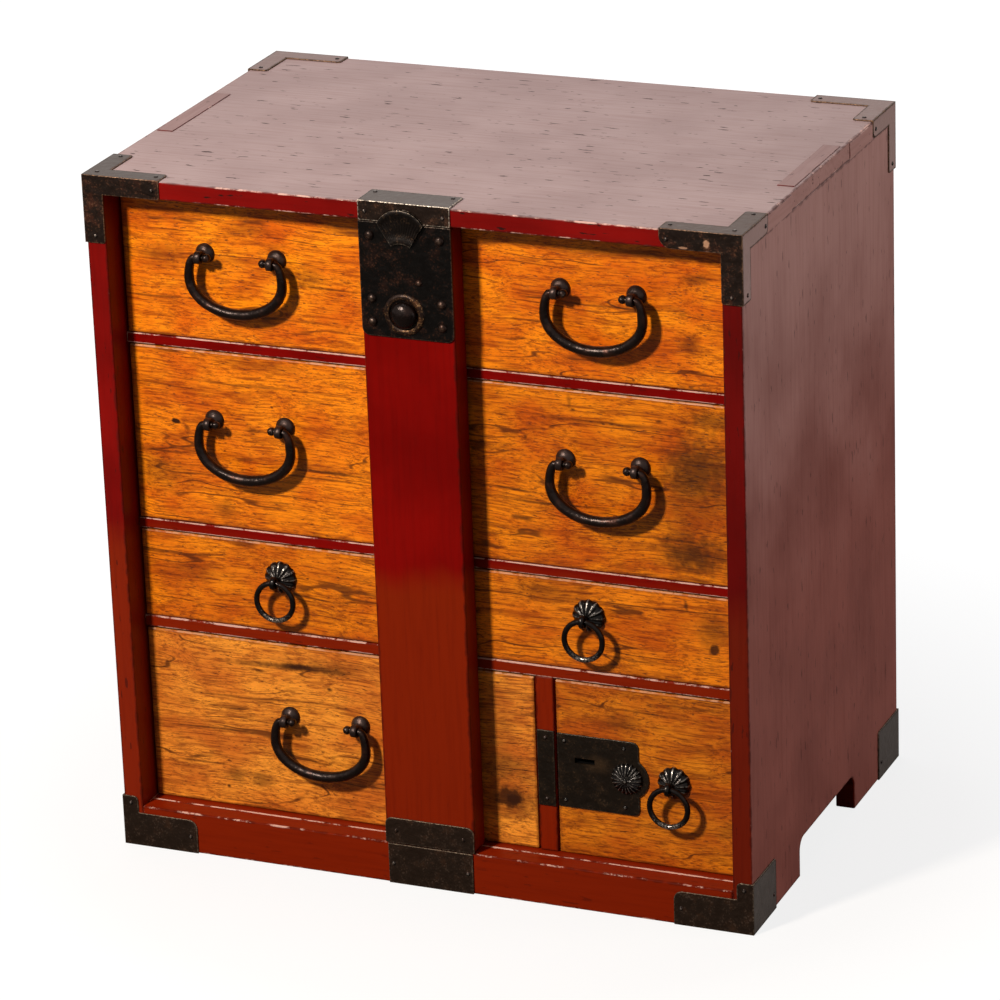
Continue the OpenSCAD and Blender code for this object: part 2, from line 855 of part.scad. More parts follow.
// The locking drawer's front: pocket for the lock, way out for the bolt, keyhole
module lock_front() {
    x0 = small_case_x - seat_play;
    x1 = small_case_x + small_case_w + seat_play;
    z0 = drawer_plate_z - small_case_h / 2 - seat_play;
    z1 = drawer_plate_z + small_case_h / 2 + seat_play;
    color(honey)
        difference() {
            drawer_front(LOCK, [LOCK_PULL]);
            block([x0, x1], [face_y + front_t - pocket_t, face_y + front_t + cut], [z0, z1]);
            block([post_right_x, x0 + cut],
                  [small_bolt_y - fit, small_bolt_y + small_bolt_t + fit],
                  [small_bolt_z - small_bolt_h / 2 - fit, small_bolt_z + small_bolt_h / 2 + fit]);
            block([keyhole_x - keyhole_w / 2, keyhole_x + keyhole_w / 2],
                  [face_y - cut, face_y + front_t - cut],
                  [keyhole_z - keyhole_h / 2, keyhole_z + keyhole_h / 2]);
        }
}

// Drop handles

// Middle line of a handle: a quarter curve down from each pin and a round bottom
function bail_x(t) = let (s = bail_span / 2 + bail_shoulder, w = bail_w / 2)
    t < 0.2 ? -s - (w - s) * sin(t / 0.2 * 90)
    : t > 0.8 ? s + (w - s) * sin((1 - t) / 0.2 * 90)
    : -w * cos((t - 0.2) / 0.6 * 180);
function bail_z(t) =
    t < 0.2 ? -arm_drop + arm_drop * cos(t / 0.2 * 90)
    : t > 0.8 ? -arm_drop + arm_drop * cos((1 - t) / 0.2 * 90)
    : -arm_drop - (bail_drop - arm_drop) * sin((t - 0.2) / 0.6 * 180);
function bail_r(t) = bail_end_r + (grip_r - bail_end_r) * pow(sin(180 * t), 0.8);
function unit(v) = v / norm(v);
function bail_dir(t) = t < 0.001 ? [-1, 0] : t > 0.999 ? [-1, 0]
    : unit([bail_x(t + 0.001) - bail_x(t - 0.001), bail_z(t + 0.001) - bail_z(t - 0.001)]);

// The curved arm as a tube with round sections, square to the middle line
module bail_arm() {
    points = [
        for (i = [0:bail_rings - 1])
            let (t = i / (bail_rings - 1), d = bail_dir(t), r = bail_r(t))
                for (j = [0:bail_sides - 1])
                    let (a = 360 * j / bail_sides)
                        [bail_x(t) - d[1] * r * cos(a), r * sin(a), bail_z(t) + d[0] * r * cos(a)]
    ];
    walls = [
        for (i = [0:bail_rings - 2])
            for (j = [0:bail_sides - 1])
                let (k = (j + 1) % bail_sides, a = i * bail_sides, b = (i + 1) * bail_sides)
                    for (f = [[a + j, a + k, b + k], [a + j, b + k, b + j]])
                        f
    ];
    last = (bail_rings - 1) * bail_sides;
    ends = [
        [for (j = [bail_sides - 1:-1:0]) j],
        [for (j = [0:bail_sides - 1]) last + j]
    ];
    polyhedron(points = points, faces = concat(walls, ends));
}

// A handle hangs by two pins that pass inwards through the eyes of the posts
module bail(pull) {
    inner = bail_span / 2 - eye_w / 2 - bail_clear;
    outer = bail_span / 2 + bail_shoulder + bail_pin_r / 2;
    color(iron)
        translate([pull[0], face_y - bail_out, pull[1]]) {
            bail_arm();
            for (side = [0, 1])
                mirror([side, 0, 0]) {
                    translate([inner - button_r, 0, 0])
                        rotate([0, 90, 0])
                            cylinder(h = outer - inner + button_r, r = bail_pin_r);
                    translate([inner - button_r, 0, 0])
                        sphere(button_r);
                }
        }
}

// One post: domed seat, neck, eye with its bore, shank and clinched end
module bail_post() {
    difference() {
        union() {
            dome(seat_r, seat_h);
            cylinder(h = bail_out, r = neck_r);
            translate([-eye_w / 2, 0, bail_out])
                rotate([0, 90, 0])
                    cylinder(h = eye_w, r = eye_r);
        }
        translate([-eye_w, 0, bail_out])
            rotate([0, 90, 0])
                cylinder(h = eye_w * 2, r = bail_pin_r + bail_clear);
    }
    clinched_shank();
}

module clinched_shank() {
    translate([0, 0, -front_t - clinch_t])
        cylinder(h = front_t + clinch_t + seat_h / 2, r = shank_r);
    translate([-clinch_l / 2, -shank_r, -front_t - clinch_t])
        cube([clinch_l, shank_r * 2, clinch_t]);
}

module bail_posts(pull) {
    color(iron)
        for (p = bail_holes(pull))
            outward(p[0], face_y, p[1])
                bail_post();
}

// Ring pulls

// Height of a fluted dome: lobes between sharp valleys that fade to the middle
function valley(a, flutes) = 1 - abs(cos(flutes / 2 * a));
function dome_z(f, v, h, rim) = rim + (h - rim) * pow(1 - f * f, 0.62) * (1 - 0.3 * f * v);
function rim_r(f, v, r) = r * f * (1 - 0.07 * f * v);

// A fluted dome on the plane z = 0, flat in its middle out to flat_r
module fluted_dome(r, h, flat_r, flutes) {
    rim = 1.1;
    steps = flutes * 4;
    fractions = [1, 0.94, 0.8, 0.6, 0.4, flat_r / r];
    levels = len(fractions);
    points = concat(
        [for (j = [0:steps - 1])
            let (a = 360 * j / steps, d = rim_r(1, valley(a, flutes), r))
                [d * cos(a), d * sin(a), 0]],
        [for (i = [0:levels - 1])
            for (j = [0:steps - 1])
                let (f = fractions[i], a = 360 * j / steps, v = valley(a, flutes), d = rim_r(f, v, r))
                    [d * cos(a), d * sin(a), dome_z(i == levels - 1 ? 0 : f, v, h, rim)]],
        [[0, 0, 0], [0, 0, h]]
    );
    low_mid = steps * (levels + 1);
    high_mid = low_mid + 1;
    top_row = steps * levels;
    faces = concat(
        [for (i = [0:levels - 1])
            for (j = [0:steps - 1])
                let (k = (j + 1) % steps, a = i * steps, b = a + steps)
                    for (f = [[a + j, b + k, a + k], [a + j, b + j, b + k]])
                        f],
        [for (j = [0:steps - 1]) [low_mid, j, (j + 1) % steps]],
        [for (j = [0:steps - 1]) [high_mid, top_row + (j + 1) % steps, top_row + j]]
    );
    polyhedron(points = points, faces = faces);
}

// The fluted washer, and the eyed pin that goes through it and the drawer front
module rosette(pull) {
    color(iron)
        outward(pull[0], face_y, pull[1]) {
            difference() {
                fluted_dome(rosette_r, rosette_h, rosette_flat, petals);
                translate([0, 0, -cut])
                    cylinder(h = rosette_h + 2 * cut, r = shank_r + shank_clear);
            }
            difference() {
                union() {
                    cylinder(h = ring_out, r = shank_r);
                    translate([0, 0, rosette_h + glue_line])
                        cylinder(h = ring_out - rosette_h, r = collar_neck_r);
                    translate([-ring_eye_w / 2, 0, ring_out])
                        rotate([0, 90, 0])
                            cylinder(h = ring_eye_w, r = ring_eye_r);
                    clinched_shank();
                }
                translate([-ring_eye_w, 0, ring_out])
                    rotate([0, 90, 0])
                        cylinder(h = ring_eye_w * 2, r = ring_eye_bore);
            }
        }
}

module ring(pull) {
    color(iron)
        outward(pull[0], face_y - ring_out, pull[1] - ring_mid_r)
            rotate_extrude()
                translate([ring_mid_r, 0])
                    circle(wire_r);
}

// Drawer lock

// Plate with a round lobe, the fluted boss on it and four nails
module drawer_lock_plate() {
    z0 = drawer_plate_z - drawer_plate_h / 2;
    z1 = drawer_plate_z + drawer_plate_h / 2;
    x1 = drawer_plate_x + drawer_plate_w;
    color(iron) {
        difference() {
            facing(face_y, plate_t)
                union() {
                    translate([drawer_plate_x, z0])
                        square([drawer_plate_w - plate_round_r, drawer_plate_h]);
                    rounded_plate([drawer_plate_x, x1], [z0, z1], plate_round_r);
                    translate([boss_x, drawer_plate_z])
                        circle(lobe_r);
                }
            block([keyhole_x - keyhole_w / 2, keyhole_x + keyhole_w / 2],
                  [face_y - plate_t - cut, face_y + cut],
                  [keyhole_z - keyhole_h / 2, keyhole_z + keyhole_h / 2]);
        }
        outward(boss_x, face_y - plate_t - glue_line, drawer_plate_z) {
            fluted_dome(boss_r, boss_h, boss_flat, boss_flutes);
            translate([0, 0, boss_h])
                dome(boss_ball_r, boss_ball_r / 2);
        }
        for (x = [drawer_plate_x + nail_inset, x1 - 2 * nail_inset])
            for (z = [z0 + nail_inset, z1 - nail_inset])
                outward(x, face_y - plate_t - glue_line, z)
                    nail_head();
    }
}

module drawer_lock_case() {
    x0 = small_case_x;
    x1 = x0 + small_case_w;
    y1 = face_y + front_t;
    y0 = y1 - small_case_t;
    z0 = drawer_plate_z - small_case_h / 2;
    z1 = drawer_plate_z + small_case_h / 2;
    color(iron)
        difference() {
            block([x0, x1], [y0, y1], [z0, z1]);
            block([x0 + sheet_t, x1 - sheet_t], [y0 + sheet_t, y1 - sheet_t], [z0 + sheet_t, z1 - sheet_t]);
            block([x0 - cut, x0 + sheet_t + cut],
                  [small_bolt_y - fit, small_bolt_y + small_bolt_t + fit],
                  [small_bolt_z - small_bolt_h / 2 - fit, small_bolt_z + small_bolt_h / 2 + fit]);
            block([keyhole_x - keyhole_w / 2, keyhole_x + keyhole_w / 2],
                  [y0 - cut, y0 + sheet_t + cut],
                  [keyhole_z - keyhole_h / 2, keyhole_z + keyhole_h / 2]);
        }
}

module drawer_bolt() {
    color(iron)
        block([small_bolt_x, small_bolt_x + small_bolt_l],
              [small_bolt_y, small_bolt_y + small_bolt_t],
              [small_bolt_z - small_bolt_h / 2, small_bolt_z + small_bolt_h / 2]);
}

left_side();
right_side();
top_board();
front_rail();
base_board();
back_panel();
divider();
deck();
shelves();
bay_post();
corner_irons();
edge_straps();
keeper_strap();
rail_plate();
strike_plate();
case_nails();
locking_bar();
bar_pins();
bar_lock_plate();
bar_crest();
bar_foot_plate();
bar_studs();
bar_lock_case();
bar_knob();
bar_bolt();
bail_front(TOP_LEFT, TOP_LEFT_PULL);  // top_left_front
drawer_box(TOP_LEFT);  // top_left_box
bail_front(TOP_RIGHT, TOP_RIGHT_PULL);  // top_right_front
drawer_box(TOP_RIGHT);  // top_right_box
bail_front(SECOND_LEFT, SECOND_LEFT_PULL);  // second_left_front
drawer_box(SECOND_LEFT);  // second_left_box
bail_front(SECOND_RIGHT, SECOND_RIGHT_PULL);  // second_right_front
drawer_box(SECOND_RIGHT);  // second_right_box
ring_front(SMALL_LEFT, SMALL_LEFT_PULL);  // small_left_front
drawer_box(SMALL_LEFT);  // small_left_box
ring_front(SMALL_RIGHT, SMALL_RIGHT_PULL);  // small_right_front
drawer_box(SMALL_RIGHT);  // small_right_box
bail_front(WIDE, WIDE_PULL);  // wide_front
drawer_box(WIDE);  // wide_box
lock_front();
drawer_box(LOCK);  // lock_box
bail_posts(TOP_LEFT_PULL);  // top_left_posts
bail(TOP_LEFT_PULL);  // top_left_bail
bail_posts(TOP_RIGHT_PULL);  // top_right_posts
bail(TOP_RIGHT_PULL);  // top_right_bail
bail_posts(SECOND_LEFT_PULL);  // second_left_posts
bail(SECOND_LEFT_PULL);  // second_left_bail
bail_posts(SECOND_RIGHT_PULL);  // second_right_posts
bail(SECOND_RIGHT_PULL);  // second_right_bail
bail_posts(WIDE_PULL);  // wide_posts
bail(WIDE_PULL);  // wide_bail
rosette(SMALL_LEFT_PULL);  // small_left_rosette
ring(SMALL_LEFT_PULL);  // small_left_ring
rosette(SMALL_RIGHT_PULL);  // small_right_rosette
ring(SMALL_RIGHT_PULL);  // small_right_ring
rosette(LOCK_PULL);  // lock_rosette
ring(LOCK_PULL);  // lock_ring
drawer_lock_plate();
drawer_lock_case();
drawer_bolt();
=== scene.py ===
# %% [markdown]
# This lesson dresses a small locking-bar chest: a lacquered case, wooden drawers
# and hand-forged ironwork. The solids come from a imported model, which fixes every
# place and size. Here each visible board and iron is made again with eased and
# worn edges, and gets a material that starts from what the real one is.

# %% Load the solids that fix every place
import math
from functools import partial

import bmesh
import bpy
from mathutils import Matrix, Vector, noise


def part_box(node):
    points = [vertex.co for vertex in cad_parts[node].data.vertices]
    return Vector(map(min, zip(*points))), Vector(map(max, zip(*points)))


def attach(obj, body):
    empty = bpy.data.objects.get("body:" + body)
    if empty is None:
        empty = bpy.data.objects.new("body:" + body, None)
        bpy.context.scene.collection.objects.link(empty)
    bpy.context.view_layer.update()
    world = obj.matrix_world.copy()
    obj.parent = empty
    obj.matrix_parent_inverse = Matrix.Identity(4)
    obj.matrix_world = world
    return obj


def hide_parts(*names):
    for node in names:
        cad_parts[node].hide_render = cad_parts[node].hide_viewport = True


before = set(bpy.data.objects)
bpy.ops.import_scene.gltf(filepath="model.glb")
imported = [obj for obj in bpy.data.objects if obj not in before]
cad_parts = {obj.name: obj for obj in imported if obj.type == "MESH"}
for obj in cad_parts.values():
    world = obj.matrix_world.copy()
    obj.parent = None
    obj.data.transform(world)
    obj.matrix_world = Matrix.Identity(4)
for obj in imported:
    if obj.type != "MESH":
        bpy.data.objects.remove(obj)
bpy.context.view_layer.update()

MM = 0.001

# %% [markdown]
# The camera stands to the right of the chest, above it and far away, with a long
# lens. It could be placed by eye. Here it comes from the chest's own corners, which
# fix its direction, its slight lean and its lens.

# %% Camera
AZIMUTH, ELEVATION = 23.12, 20.96
LEAN = math.radians(-2.06)
DISTANCE = 3.4
AIM_RIGHT, AIM_UP = -0.0120, 0.2053
CASE_MIDDLE_Y = 3.6 * MM
SENSOR_WIDTH, LENS_TO_SENSOR = 36, 4.947


def direction(azimuth, elevation):
    """The way from the chest to a camera or lamp, in degrees. Azimuth 0 is the front."""
    a, e = math.radians(azimuth), math.radians(elevation)
    return Vector((math.sin(a) * math.cos(e), -math.cos(a) * math.cos(e), math.sin(e)))


def new_object(name, data):
    """An object that holds data, linked to the scene."""
    made = bpy.data.objects.new(name, data)
    bpy.context.scene.collection.objects.link(made)
    return made


back = direction(AZIMUTH, ELEVATION)
level = Vector((math.cos(math.radians(AZIMUTH)), math.sin(math.radians(AZIMUTH)), 0))
upright = back.cross(level)
cam_x = math.cos(LEAN) * level + math.sin(LEAN) * upright
cam_y = math.cos(LEAN) * upright - math.sin(LEAN) * level
camera_data = bpy.data.cameras.new("camera")
camera_data.sensor_width = SENSOR_WIDTH
camera_data.lens = SENSOR_WIDTH * LENS_TO_SENSOR
camera = new_object("camera", camera_data)
spot = AIM_RIGHT * cam_x + AIM_UP * cam_y + DISTANCE * back + Vector((0, CASE_MIDDLE_Y, 0))
turn = Matrix((cam_x, cam_y, back)).transposed().to_4x4()
camera.matrix_world = Matrix.Translation(spot) @ turn
bpy.context.scene.camera = camera
bpy.context.scene.view_settings.view_transform = "Standard"
print("camera at", [round(v, 3) for v in spot])

# %% [markdown]
# A finish is a tree of nodes, which could be joined by hand in the shader editor. In
# a script one small function adds a node with its settings and links. Colours are
# written as in a paint program, and one function turns them to linear values.

# %% Nodes and colours
# The numbers of the Mix node's sockets for colours.
MIX_A, MIX_B, MIX_COLOUR = 6, 7, 2


def linear(text):
    """A colour written as #rrggbb, turned into the linear values that shaders use."""
    channels = [int(text[i:i + 2], 16) / 255 for i in (1, 3, 5)]
    return [c / 12.92 if c <= 0.04045 else ((c + 0.055) / 1.055) ** 2.4 for c in channels] + [1]


def feed(tree, node, inputs):
    """Fills a node's inputs with values, #rrggbb colours or links from outputs."""
    for key, value in inputs.items():
        if isinstance(value, bpy.types.NodeSocket):
            tree.links.new(value, node.inputs[key])
        else:
            node.inputs[key].default_value = linear(value) if isinstance(value, str) else value


def add_node(tree, kind, inputs=None, output=0, **settings):
    """Adds a shader node and returns one of its outputs, if it has any."""
    node = tree.nodes.new("ShaderNode" + kind)
    for key, value in settings.items():
        setattr(node, key, value)
    feed(tree, node, inputs or {})
    return node.outputs[output] if len(node.outputs) else None


def new_material(name):
    """A material, the function that adds its nodes, and the place on the object."""
    material = bpy.data.materials.new(name)
    material.use_nodes = True
    add = partial(add_node, material.node_tree)
    return material, add, add("TexCoord", output="Object")


def set_shader(material, inputs):
    """Fills the inputs of the material's own shader."""
    feed(material.node_tree, material.node_tree.nodes["Principled BSDF"], inputs)


print("mid grey in linear light:", round(linear("#808080")[0], 3))

# %% [markdown]
# The chest stands on white studio paper. Really white paper would throw light up at
# the chest and hide its shadow. So the paper is grey to the light, and only camera
# rays see it lifted to white, most of all away from the chest.

# %% Paper floor
FLOOR_HALF = 6

floor_bm = bmesh.new()
bmesh.ops.create_grid(floor_bm, x_segments=1, y_segments=1, size=FLOOR_HALF)
floor_mesh = bpy.data.meshes.new("floor")
floor_bm.to_mesh(floor_mesh)
floor_bm.free()
floor = new_object("floor", floor_mesh)

paper, add, place = new_material("white_studio_paper")
seen = add("LightPath", output="Is Camera Ray")
away = add("VectorMath", {0: place}, "Value", operation="LENGTH")
whiter = add("MapRange", {"Value": away, "From Min": 0.3, "From Max": 0.7,
                          "To Min": 0.82, "To Max": 1.0})
lift = add("Math", {0: seen, 1: whiter}, operation="MULTIPLY")
set_shader(paper, {"Base Color": "#6e6d6c", "Roughness": 0.9, "Specular IOR Level": 0.1,
                   "Emission Color": "#ffffff", "Emission Strength": lift})
floor_mesh.materials.append(paper)
print("floor:", 2 * FLOOR_HALF, "m wide")

# %% [markdown]
# The world is what lies beyond the floor: a dim warm room. One bright world would be
# simpler, but it would flatten the shadows. So Light Path tells the rays apart: matt
# surfaces get the dim room, polished iron has something pale to mirror, and the
# camera sees plain white, which adds no light to the chest.

# %% World
world = bpy.data.worlds.new("studio")
bpy.context.scene.world = world
world.use_nodes = True
world.node_tree.nodes.clear()
add = partial(add_node, world.node_tree)
fill, mirrored, white = (add("Background", {"Color": (*colour, 1), "Strength": strength})
                         for colour, strength in (((1, 0.88, 0.82), 0.065), ((1, 0.95, 0.9), 0.75),
                                                  ((1, 1, 1), 1.0)))
glossy = add("MixShader", {0: add("LightPath", output="Is Glossy Ray"), 1: fill, 2: mirrored})
shown = add("MixShader", {0: add("LightPath", output="Is Camera Ray"), 1: glossy, 2: white})
add("OutputWorld", {"Surface": shown})
print("world nodes:", len(world.node_tree.nodes))

# %% [markdown]
# One strong light from the front left throws the short shadows of the bar and the
# handles, and weak ones lift the other sides. Point lamps would throw shadows too
# hard for this, so each is a square with a size, and the larger the softer.

# %% Lamps
LAMP_AIM = Vector((0, 0, 0.24))


def lamp(name, azimuth, elevation, distance, size, watts, tint):
    """A square area lamp aimed at the middle of the chest. Azimuth 0 is the front."""
    data = bpy.data.lights.new(name, "AREA")
    data.size = size
    data.energy = watts
    data.color = linear(tint)[:3]
    lamp_object = new_object(name, data)
    to_lamp = direction(azimuth, elevation)
    lamp_object.location = LAMP_AIM + to_lamp * distance
    lamp_object.rotation_euler = to_lamp.to_track_quat("Z", "Y").to_euler()
    print(name, watts, "W from", [round(v, 2) for v in lamp_object.location])


lamp("key_light", azimuth=-22, elevation=36, distance=2.2, size=0.2, watts=57, tint="#fff2e2")
lamp("top_light", azimuth=215, elevation=76, distance=2.0, size=1.2, watts=17, tint="#f8f9ff")
lamp("side_light", azimuth=97, elevation=8, distance=2.4, size=1.2, watts=25, tint="#faf9f9")

# %% [markdown]
# Patterns could come from scanned images, which blur close up and show their seams.
# Noise stays sharp and runs on from board to board. Its scale is worked out from a
# real size in millimetres, so that grain and pits keep their size everywhere.

# %% Patterns, masks and layers
def per_mm(size):
    """Texture scale, in features a metre, for features of that size in millimetres."""
    return 1000 / size


def pattern(add, place, size, detail, rough=0.5, along="", ratio=1, shift=(0, 0, 0)):
    """Noise of a real size in mm. Along an axis its features are drawn out by a ratio."""
    if along:
        scale = [1 / ratio if axis == along else 1 for axis in "xyz"]
        place = add("Mapping", {"Vector": place, "Scale": scale, "Location": shift})
    return add("TexNoise", {"Vector": place, "Scale": per_mm(size), "Detail": detail,
                            "Roughness": rough})


def mask(add, source, low, high, reach=1.0, within=None):
    """A soft mask that goes from 0 at low to reach at high, only within another mask."""
    share = add("MapRange", {"Value": source, "From Min": low, "From Max": high, "To Max": reach},
                interpolation_type="SMOOTHSTEP")
    return share if within is None else add("Math", {0: share, 1: within}, operation="MULTIPLY")


def cover(add, under, over, source, *limits):
    """Lays a colour over another by a mask, or where a pattern passes its limits."""
    share = mask(add, source, *limits) if limits else source
    return add("Mix", {0: share, MIX_A: under, MIX_B: over}, MIX_COLOUR, data_type="RGBA")


# Edge nearness drives rubbed wear and also painted edge highlights.
def edge_wear_and_highlight(add, ragged):
    """How near an edge a place is, made ragged by a pattern."""
    edge = add("Attribute", output="Fac", attribute_name="wear_and_highlight")
    return add("Math", {0: edge, 1: ragged}, operation="ADD")


def mark(add, place, rag, x, z, half_w, half_h, strength, core=0.6):
    """A ragged spot at (x, z) mm on what faces front. Its edge is crisper the higher its core."""
    rag_depth, rim = 0.9, 1.55
    scale = (per_mm(half_w), 0, per_mm(half_h))
    away = add("VectorMath", {0: place, 1: (x * MM, 0, z * MM)}, operation="SUBTRACT")
    scaled = add("VectorMath", {0: away, 1: scale}, operation="MULTIPLY")
    reach = add("VectorMath", {0: scaled}, "Value", operation="LENGTH")
    ragged = add("Math", {0: rag, 1: rag_depth, 2: reach}, operation="MULTIPLY_ADD")
    return mask(add, ragged, rim, core, strength)


def finished(material, relief, strength, depth, inputs):
    """Fills the shader and adds a relief that is a real depth high."""
    tree = material.node_tree
    bump = add_node(tree, "Bump", {"Height": relief, "Strength": strength, "Distance": depth})
    set_shader(material, {**inputs, "Normal": bump})
    print("finish:", material.name, "with", len(tree.nodes), "nodes")
    return material


print("scale for a grain of 2 mm:", per_mm(2))

# %% [markdown]
# The case is red urushi lacquer over softwood: many thin coats, brushed along the
# board, rubbed and handled for a century. That gives a satin surface with faint
# brush marks, a darker layer where edges are rubbed, and pale edges that are partly
# chipping to the ground coat and partly a painted highlight. What faces front is
# still deep red. The top and sides have lost colour and gathered dust, and their
# colours also carry a painted sheen of the bright room. They could be two materials,
# but then each board would be all one or all the other. So these paler colours with
# their painted sheen come in where the surface turns away from the front, and one
# board can show both.

# %% Faded lacquer with painted sheen
CASE_MIDDLE = (0, 0, 240 * MM)
FADED_TOP_AND_SHEEN = ("#998281", "#a58f8e")
FADED_SIDE_AND_SHEEN = ("#7e473e", "#8c5147")
DUST_AND_SHEEN = "#b98f87"


def fade_and_sheen(add, place, clouds, height, red, upper_colours):
    """Turns red to paler colours with a painted sheen where it is outside and faces up, sideways or
    back. Dust with painted sheen makes the sides paler high up.
    """
    turned = add("TexCoord", output="Normal")
    cloudy = mask(add, clouds, 0.3, 0.7)
    # Paler high on the sides: dust with a painted sheen.
    dust_and_sheen_height = add("Math", {0: clouds, 1: 0.2, 2: height}, operation="MULTIPLY_ADD")
    side = cover(add, cover(add, *FADED_SIDE_AND_SHEEN, cloudy), DUST_AND_SHEEN, dust_and_sheen_height, 0.3, 0.6, 0.75)
    upper = cover(add, *upper_colours, cloudy)
    faded_and_sheen = cover(add, side, upper, add("SeparateXYZ", {"Vector": turned}, "Z"), 0.3, 0.7)
    from_middle = add("VectorMath", {0: place, 1: CASE_MIDDLE}, operation="SUBTRACT")
    outward = add("VectorMath", {0: from_middle, 1: turned}, "Value", operation="DOT_PRODUCT")
    outer = mask(add, outward, 0, 20 * MM)
    away_from_front = add("SeparateXYZ", {"Vector": turned}, "Y")
    return cover(add, red, faded_and_sheen, mask(add, away_from_front, -0.75, -0.35, within=outer))


def raw_behind(add, place, brush, colour, start):
    """Raw wood behind a y, where the brush didn't reach."""
    depth = add("SeparateXYZ", {"Vector": place}, "Y")
    ragged = add("Math", {0: brush, 1: 12 * MM, 2: depth}, operation="MULTIPLY_ADD")
    raw = cover(add, "#b08a5c", "#8f6a42", brush, 0.35, 0.7)
    return cover(add, colour, raw, ragged, start, start + 4 * MM)


print("faded lacquer:", FADED_TOP_AND_SHEEN, FADED_SIDE_AND_SHEEN)

# %% [markdown]
# The red itself is laid in layers: the coats, a painted reflection of the floor that
# browns it near the floor, the brush marks, pits that run along the board, rubbed
# edges, and last the pale edges, partly chipping to the ground coat and partly a
# painted highlight. One flat red with a scratch image over it would be quicker, but
# then nothing would be rubbed at the edges.

# %% Red lacquer
def lacquer(name, along, faded_and_sheen=None, roughness=0.36, pits=0.35, chip_and_highlight=0.8, chip_and_highlight_from=1.5,
            bare_behind=None, reds=("#6a0200", "#7c0401", "#7c1e03")):
    """Lacquer brushed along x, y or z. Its top takes two paler colours that carry a painted sheen.

    Behind bare_behind, a y, it stops at raw wood. The third of the reds is a painted reflection of the
    floor, near the floor.
    """
    material, add, place = new_material(name)
    clouds = pattern(add, place, 60, detail=3)
    brush = pattern(add, place, 2.4, 5, 0.62, along, 22)
    height = add("SeparateXYZ", {"Vector": place}, "Z")
    low = add("Math", {0: clouds, 1: 0.05, 2: height}, operation="MULTIPLY_ADD")
    colour = cover(add, reds[0], reds[1], clouds, 0.3, 0.7)
    # A painted reflection of the floor browns the red low down.
    colour = cover(add, colour, reds[2], low, 0.26, 0.235)
    if faded_and_sheen:
        colour = fade_and_sheen(add, place, clouds, height, colour, faded_and_sheen)
    darker = add("Mix", {0: 1.0, MIX_A: colour, MIX_B: "#b98f86"}, MIX_COLOUR,
                 data_type="RGBA", blend_type="MULTIPLY")
    colour = cover(add, colour, darker, brush, 0.4, 0.75, 0.3)
    dashes = pattern(add, place, 2.8, 3, 0.5, along, 5, (0.31, 0.17, 0.23))
    pit = mask(add, dashes, 0.66, 0.69, pits)
    colour = cover(add, colour, "#280a08", pit)
    rubbed = edge_wear_and_highlight(add, pattern(add, place, 7, detail=4))
    chips_and_highlight = edge_wear_and_highlight(add, pattern(add, place, 24, 8, 0.8))
    colour = cover(add, colour, "#3a0d08", rubbed, 1.3, 1.62, 0.6)
    # Pale edges: partly chipping to the ground coat, partly a painted highlight along the glossy edges.
    colour = cover(add, colour, "#d8aea2", chips_and_highlight, chip_and_highlight_from, chip_and_highlight_from + 0.08, chip_and_highlight)
    if bare_behind is not None:
        colour = raw_behind(add, place, brush, colour, bare_behind)
    soft = add("Math", {0: clouds, 1: 0.16, 2: roughness - 0.08}, operation="MULTIPLY_ADD")
    relief = add("Math", {0: brush, 1: pit}, operation="SUBTRACT")
    return finished(material, relief, strength=0.3, depth=0.15 * MM, inputs={
        "Base Color": colour, "Roughness": soft, "IOR": 1.5,
        "Specular IOR Level": 0.14 if faded_and_sheen else 0.08})


LACQUER_REACH = 16 * MM
face_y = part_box("top_left_front")[0].y
inside_y = face_y + LACQUER_REACH
lacquer_front = lacquer("red_lacquer_rail", "x")
lacquer_bar = lacquer("red_lacquer_bar", "z", pits=0.1, chip_and_highlight=0)
# A low threshold gives the shelves near-continuous pale edge lines, mostly painted highlight.
lacquer_shelf = lacquer("red_lacquer_shelf", "x", chip_and_highlight_from=1.42, bare_behind=inside_y)
lacquer_upright = lacquer("red_lacquer_upright", "z", chip_and_highlight_from=1.6, bare_behind=inside_y)
lacquer_top = lacquer("faded_sheen_red_lacquer_top", "x", FADED_TOP_AND_SHEEN, roughness=0.42, pits=1)
faded_sheen_side = {"faded_and_sheen": FADED_TOP_AND_SHEEN, "roughness": 0.42, "pits": 0.6, "chip_and_highlight": 0.6, "chip_and_highlight_from": 1.62}
lacquer_side = lacquer("faded_sheen_red_lacquer_side", "z", **faded_sheen_side)
# The right board's front reds are darker than the left's: painted shade.
lacquer_painted_shade = lacquer("faded_sheen_red_lacquer_painted_shade_side", "z", **faded_sheen_side,
                         reds=("#560100", "#640200", "#641502"))

# %% [markdown]
# The drawer fronts are a figured softwood under clear amber lacquer. The grain runs
# across, with close wavy lines, short dark pores and knots. A photograph of wood
# would be the quick way, and noise drawn out along the grain is the one that stays
# sharp on every drawer. The finest lines are where a slow noise crosses its middle.

# %% Amber drawer wood
HAIRLINE_RATIO = 70


